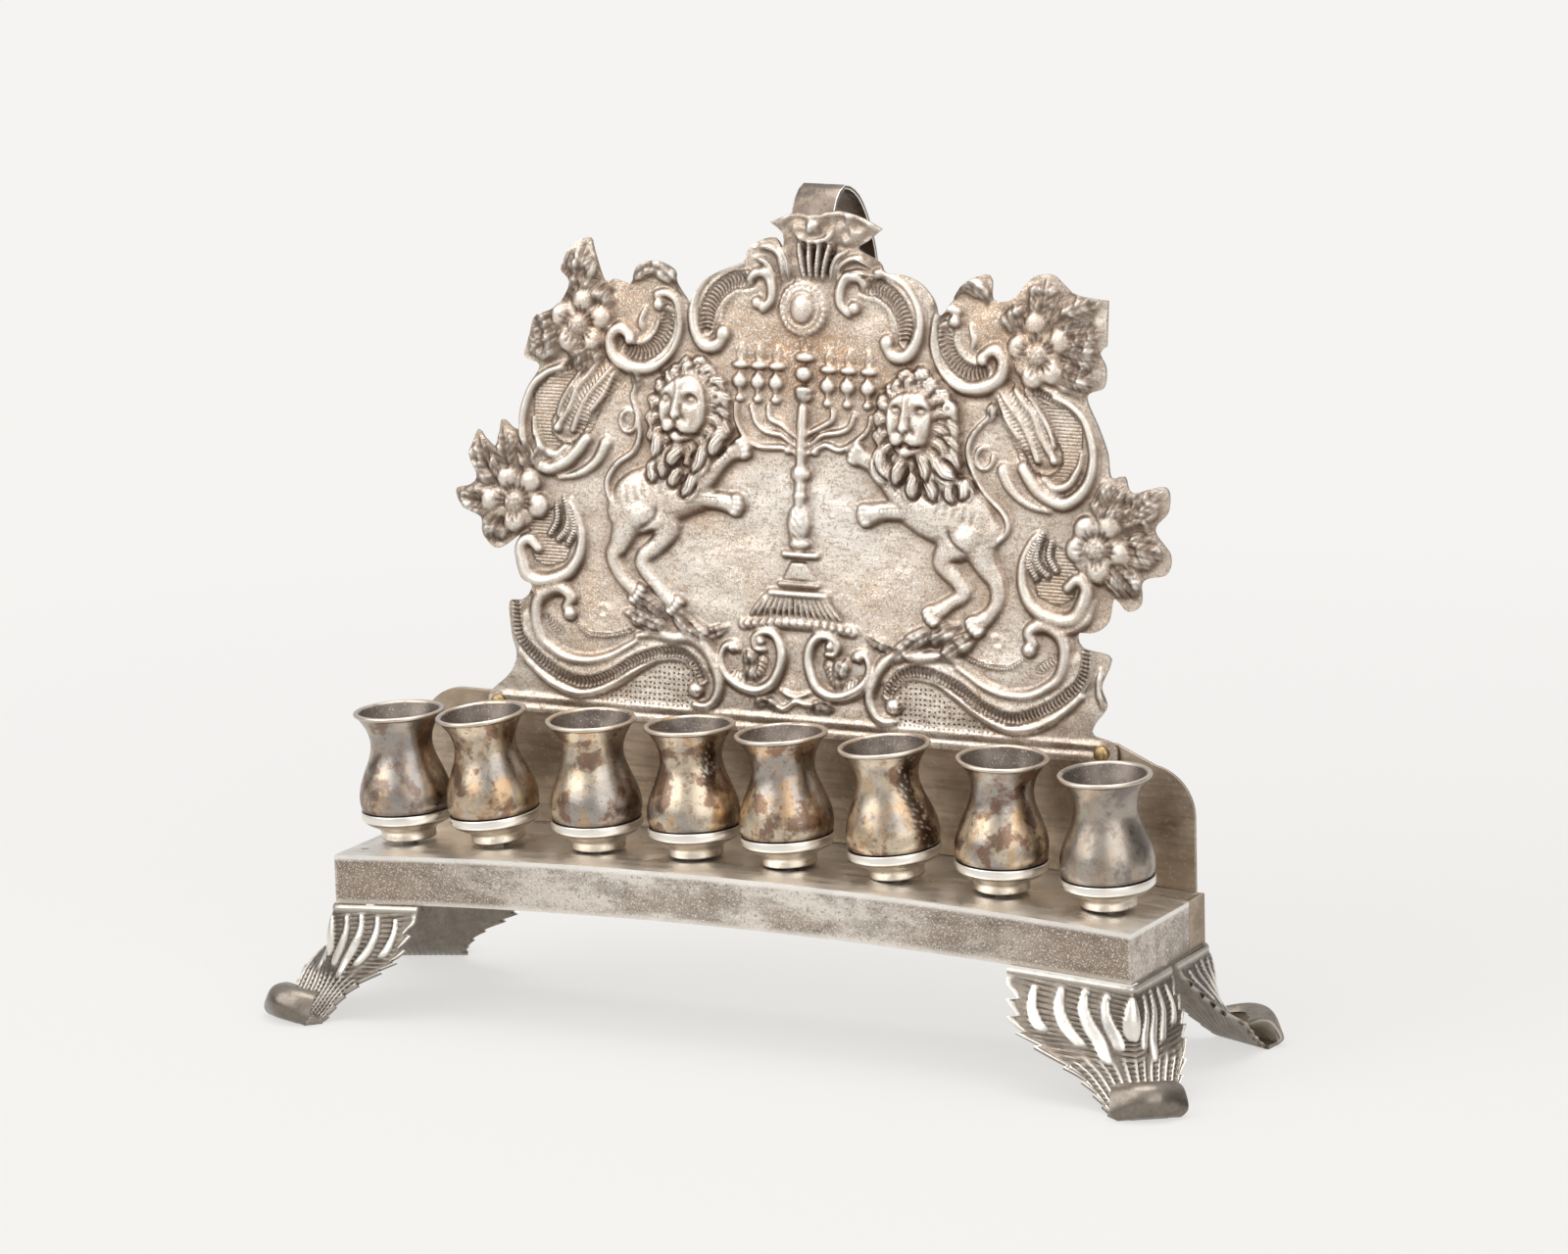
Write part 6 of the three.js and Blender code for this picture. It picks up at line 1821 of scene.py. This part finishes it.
class LAMP_OT_fonts(bpy.types.Operator):
    """Raises the oil fonts and their dishes, and stands them in their leaning places"""

    bl_idname = "lamp.fonts"
    bl_label = "Fonts and dishes"

    def execute(self, context):
        font = spun("raised_font", font_profile())
        dish = spun("banded_dish", DISH_PROFILE)
        for i, place in enumerate(font_places()):
            turn = Matrix.Scale(MM, 4) @ Matrix.Translation(SHIFT) @ place
            vessel = self.copied(font, f"raised_font_{i + 1}", i, 0.12)
            self.mark_font(vessel, i)
            vessel.data.transform(turn)
            stands_for(vessel, f"font_{i + 1}", "font_silver", f"oil_font_{i + 1}")
            holder = self.copied(dish, f"banded_dish_{i + 1}", i, 0.06)
            self.mark_dish(holder)
            holder.data.transform(turn)
            stands_for(holder, "lamp_body", "dish_silver", f"font_dish_{i + 1}")
        bpy.data.objects.remove(font)
        bpy.data.objects.remove(dish)
        return {"FINISHED"}

    def copied(self, source, name, i, depth):
        """Hand-raised vessels are never quite round: each copy is pushed a little out of true."""
        piece = linked(name, source.data.copy())
        co, r, a = cylindrical(piece.data)
        wave = np.sin(2 * a + i * 1.7) + 0.5 * np.sin(3 * a + i * 2.3 + co[:, 2] * 0.12)
        grow = np.clip(r / 12, 0, 1) * depth * wave - depth
        co[:, :2] *= (1 + np.where(r > 0.01, grow / np.maximum(r, 0.01), 0))[:, None]
        piece.data.vertices.foreach_set("co", co.ravel())
        return piece

    def mark_font(self, piece, i):
        """Marks the rim, rubbed and painted with a highlight, the scorched blotches with their flecks, the
        darkened foot below 9 mm, and the sooty inside.
        """
        co, r, a = cylindrical(piece.data)
        z = co[:, 2]
        outside = np.array(FONT_OUTSIDE)
        within = (r < np.interp(z, outside[:, 1], outside[:, 0]) - 0.45) & (z > 6.6) & (z < 33.6)
        rng = np.random.default_rng(30 + i)
        ragged = rng.uniform(-0.3, 0.3, len(z))
        # The foot below 9 mm, where the font stands in its dish, is darkened as well.
        blotch = 0.75 * smooth_step((9.0 - z) / 0.7) * ~within
        fleck = np.zeros(len(z))
        for bearing, height, half_turn, half_height in BLOTCHES.get(i, ()):
            turn = (np.degrees(a) - bearing) / half_turn
            reach = 1.3 - np.hypot(turn, (z - height) / half_height) + ragged
            blotch = np.maximum(blotch, smooth_step(reach / 0.5) * ~within)
            fleck = np.maximum(fleck, (reach > 0.4) & (rng.uniform(0, 1, len(z)) > 0.86) & ~within)
        # Wear and a painted highlight on the rim.
        rim = smooth_step((z - 33.0) / 0.2) * (r > 10.7)
        float_attribute(piece, "crown", rim)
        float_attribute(piece, "blotch", blotch * (1 - rim))
        float_attribute(piece, "fleck", fleck)
        float_attribute(piece, "grey", np.full(len(z), GREY_FONTS.get(i, 0.0)))
        paint(piece, finish_of("tarnished_raised_silver"))
        piece.data.materials.append(finish_of("sooted_raised_silver"))
        for face in piece.data.polygons:
            face.material_index = int(all(within[v] for v in face.vertices))

    def mark_dish(self, piece):
        """Marks a dish's band, rubbed and painted with a highlight, and paints shade where the font sits in
        it and round its bottom.
        """
        co, r, _ = cylindrical(piece.data)
        z = co[:, 2]
        # Wear and a painted highlight on the band.
        band = (r > 11.5) & (z > 5.4) & (z < 7.66)
        float_attribute(piece, "crown", band)
        # Painted shade where the font sits in the dish, and round the dish's bottom below 0.5 mm.
        seat = (z > 5.0) & (r < 11.9) & ~band
        float_attribute(piece, "recess", np.maximum(0.9 * seat, 0.5 * (z < 0.5)))
        paint(piece, finish_of("rubbed_raised_silver"))


# How far the plate's screws sit under the top of the wall, down the plate's slope.
SCREW_DROP = 2.6


class LAMP_OT_hardware(bpy.types.Operator):
    """Makes the backplate's screws, and dresses the nuts"""

    bl_idname = "lamp.hardware"
    bl_label = "Screws and nuts"

    def execute(self, context):
        brass = finish_of("dull_turned_brass")
        z = BENCH_TOP + WALL_RISE - SCREW_DROP * math.cos(PLATE_LEAN)
        y = PLATE_GROUND + SHIFT.y - SCREW_DROP * math.sin(PLATE_LEAN)
        for place in ("left", "right"):
            low, high = (Vector(c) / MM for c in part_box("plate_screw_" + place))
            length = (high.y - low.y) / math.cos(PLATE_LEAN)
            profile = [
                (0, -length + 2), (1.1, -length + 2), (1.2, -length + 2.3), (1.2, 0.3), (2.0, 0.3),
                (2.1, 0.5),
                (2.08, 0.8), (1.85, 1.2), (1.4, 1.5), (0.8, 1.65), (0, 1.7),
            ]
            screw = spun("slotted_screw_" + place, profile, segments=32)
            turn = Matrix.Rotation(math.pi / 2 - PLATE_LEAN, 4, "X")
            where = Matrix.Translation(((low.x + high.x) / 2, y, z))
            screw.data.transform(Matrix.Scale(MM, 4) @ where @ turn)
            paint(screw, brass)
            stands_for(screw, "lamp_body", "hardware", "plate_screw_" + place)
        for name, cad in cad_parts.items():
            if "nut" in name:
                paint(cad, brass)
        return {"FINISHED"}


# Stage


CAMERA_PLACE = (807.41, -1551.17, 471.74)
CAMERA_YAW = math.radians(27.26)
CAMERA_PITCH = math.radians(11.81)
CAMERA_ROLL = math.radians(-1.42)
FOCAL_PIXELS = 7146.1
SENSOR_MM = 36.0


class LAMP_OT_stage(bpy.types.Operator):
    """Sets the floor, the backdrop's light, the lamps and the camera"""

    bl_idname = "lamp.stage"
    bl_label = "Floor, light and camera"

    def execute(self, context):
        self.floor()
        self.world(context)
        self.lights()
        self.camera(context)
        context.scene.view_settings.view_transform = "Standard"
        return {"FINISHED"}

    def floor(self):
        """White paper that keeps the lamp's soft shadow and fades to an even backdrop."""
        bpy.ops.object.select_all(action="DESELECT")
        bpy.ops.mesh.primitive_plane_add(size=12.0, location=(0, 0, 0))
        floor = bpy.context.object
        floor.name = "studio_floor"
        material = bpy.data.materials.new("white_paper")
        material.use_nodes = True
        tree = material.node_tree
        tree.nodes.clear()
        paper = node(tree, "ShaderNodeBsdfDiffuse", Color=linear("#DBDAD8"))
        glow = node(tree, "ShaderNodeEmission", Color=linear("#F5F4F2"), Strength=1.0)
        place = node(tree, "ShaderNodeTexCoord").outputs["Object"]
        far = node(tree, "ShaderNodeVectorMath", {"operation": "LENGTH"}, Vector=place)
        share = node(
            tree, "ShaderNodeMapRange", Value=far, From_Min=0.25, From_Max=0.7, To_Min=0.68,
            To_Max=1.0,
        )
        path = node(tree, "ShaderNodeLightPath")
        seen = path.outputs["Is Camera Ray"]
        for ray in ("Is Glossy Ray", "Is Transmission Ray"):
            seen = node(
                tree, "ShaderNodeMath", {"operation": "MAXIMUM"}, Value=seen,
                Value_001=path.outputs[ray],
            )
        share = node(tree, "ShaderNodeMath", TIMES, Value=seen, Value_001=share)
        both = node(tree, "ShaderNodeMixShader", Fac=share, Shader=paper, Shader_001=glow)
        node(tree, "ShaderNodeOutputMaterial", Surface=both)
        floor.data.materials.append(material)

    def world(self, context):
        """A light room with a dark side, which metal shows as upright dark bands."""
        world = bpy.data.worlds.new("studio")
        context.scene.world = world
        world.use_nodes = True
        tree = world.node_tree
        tree.nodes.clear()
        way = node(tree, "ShaderNodeTexCoord").outputs["Generated"]
        up = node(tree, "ShaderNodeSeparateXYZ", Vector=way).outputs["Z"]
        room = node(
            tree, "ShaderNodeValToRGB", stops=[(0.0, 0.6), (0.08, 0.5), (0.45, 0.8), (0.95, 1.0)],
            Fac=up,
        )
        for side, start, end, dark in (
            ((0.93, 0.36, 0), 0.76, 0.96, 0.28), ((-0.94, -0.35, 0), 0.86, 0.98, 0.4),
        ):
            toward = node(
                tree, "ShaderNodeVectorMath", {"operation": "DOT_PRODUCT"}, Vector=way,
                Vector_001=side,
            )
            shade = node(
                tree, "ShaderNodeMapRange", Value=toward, From_Min=start, From_Max=end, To_Min=1.0,
                To_Max=dark,
            )
            mix = {"data_type": "RGBA", "blend_type": "MULTIPLY"}
            room = node(tree, "ShaderNodeMix", mix, Factor=1.0, A=room, B=shade)
        path = node(tree, "ShaderNodeLightPath")
        shown = node(tree, "ShaderNodeBackground", Color=linear("#F5F4F2"), Strength=1.0)
        lit = node(tree, "ShaderNodeBackground", Color=(1, 0.985, 0.96, 1), Strength=0.5)
        seen = node(tree, "ShaderNodeBackground", Color=room, Strength=1.0)
        both = node(
            tree, "ShaderNodeMixShader", Fac=path.outputs["Is Glossy Ray"], Shader=lit,
            Shader_001=seen,
        )
        last = node(
            tree, "ShaderNodeMixShader", Fac=path.outputs["Is Camera Ray"], Shader=both,
            Shader_001=shown,
        )
        node(tree, "ShaderNodeOutputWorld", Surface=last)

    def lights(self):
        for name, place, size, power in (
            ("key_softbox", (-0.9, -1.1, 1.15), 1.7, 16.0),
            ("fill_softbox", (1.3, -0.9, 0.8), 1.4, 8.0),
            ("top_softbox", (0.0, 0.1, 1.7), 1.2, 14.0),
        ):
            bpy.ops.object.light_add(type="AREA", location=place)
            lamp = bpy.context.object
            lamp.name = name
            lamp.data.size = size
            lamp.data.energy = power
            aim = Vector((0, 0, 0.09)) - Vector(place)
            lamp.matrix_world = Matrix.Translation(place) @ aim.to_track_quat("-Z", "Y").to_matrix().to_4x4(
                
            )

    def camera(self, context):
        data = bpy.data.cameras.new("photo_camera")
        camera = bpy.data.objects.new("photo_camera", data)
        context.collection.objects.link(camera)
        data.sensor_width = SENSOR_MM
        data.sensor_fit = "HORIZONTAL"
        data.lens = FOCAL_PIXELS * SENSOR_MM / IMAGE_WIDTH
        data.clip_start = 0.05
        data.clip_end = 20
        forward = Vector((
            -math.sin(CAMERA_YAW) * math.cos(CAMERA_PITCH),
            math.cos(CAMERA_YAW) * math.cos(CAMERA_PITCH),
            -math.sin(CAMERA_PITCH),
        ))
        right = forward.cross(Vector((0, 0, 1))).normalized()
        up = right.cross(forward)
        cos_roll, sin_roll = math.cos(CAMERA_ROLL), math.sin(CAMERA_ROLL)
        right, up = right * cos_roll + up * sin_roll, up * cos_roll - right * sin_roll
        turn = Matrix((right, up, -forward)).transposed().to_4x4()
        place = (Vector(CAMERA_PLACE) + SHIFT) * MM
        camera.matrix_world = Matrix.Translation(place) @ turn
        context.scene.camera = camera


# Settings and panel


class LampSizes(bpy.types.PropertyGroup):
    relief_grain: FloatProperty(
        name="Relief grain", description="Spacing of the points that carry the relief, in millimetres",
        default=0.5, min=0.3, max=3.0,
    )
    worn_edge: FloatProperty(
        name="Worn edge", description="Rounding of the bench's edges, in millimetres", default=0.8,
        min=0.05, max=2.0,
    )


class LampColours(bpy.types.PropertyGroup):
    silver: FloatVectorProperty(
        name="Silver", description="Clean silver", subtype="COLOR", size=3, min=0, max=1,
        default=linear("#EDE2D4")[:3],
    )
    tarnish: FloatVectorProperty(
        name="Tarnish", description="Warm tarnish", subtype="COLOR", size=3, min=0, max=1,
        default=linear("#CFB08F")[:3],
    )
    # The dirt colour of the plate's hollows, lines and dots.
    recess: FloatVectorProperty(
        name="Recesses", description="Dirt in the recesses", subtype="COLOR", size=3, min=0, max=1,
        default=linear("#66554A")[:3],
    )


class LAMP_PT_panel(bpy.types.Panel):
    """Lists the pieces of the lamp"""

    bl_idname = "LAMP_PT_panel"
    bl_label = "Bench Hanukkah Lamp"
    bl_space_type = "VIEW_3D"
    bl_region_type = "UI"
    bl_category = "Lamp"

    def draw(self, context):
        column = self.layout.column()
        column.prop(context.scene.lamp_sizes, "relief_grain")
        column.prop(context.scene.lamp_sizes, "worn_edge")
        for colour in ("silver", "tarnish", "recess"):
            column.prop(context.scene.lamp_colours, colour)
        for operator in OPERATORS:
            column.operator(operator.bl_idname)


OPERATORS = (
    LAMP_OT_backplate, LAMP_OT_bench, LAMP_OT_feet, LAMP_OT_fonts, LAMP_OT_strap, LAMP_OT_hardware,
    LAMP_OT_stage,
)


def register():
    for kind in (LampSizes, LampColours) + OPERATORS + (LAMP_PT_panel,):
        bpy.utils.register_class(kind)
    bpy.types.Scene.lamp_sizes = PointerProperty(type=LampSizes)
    bpy.types.Scene.lamp_colours = PointerProperty(type=LampColours)


def unregister():
    del bpy.types.Scene.lamp_colours
    del bpy.types.Scene.lamp_sizes
    for kind in (LAMP_PT_panel,) + OPERATORS[::-1] + (LampColours, LampSizes):
        bpy.utils.unregister_class(kind)


def main():
    register()
    bpy.ops.object.select_all(action="DESELECT")
    bpy.ops.lamp.backplate()
    bpy.ops.lamp.bench()
    bpy.ops.lamp.feet()
    bpy.ops.lamp.fonts()
    bpy.ops.lamp.strap()
    bpy.ops.lamp.hardware()
    bpy.ops.lamp.stage()


if __name__ == "__main__":
    main()
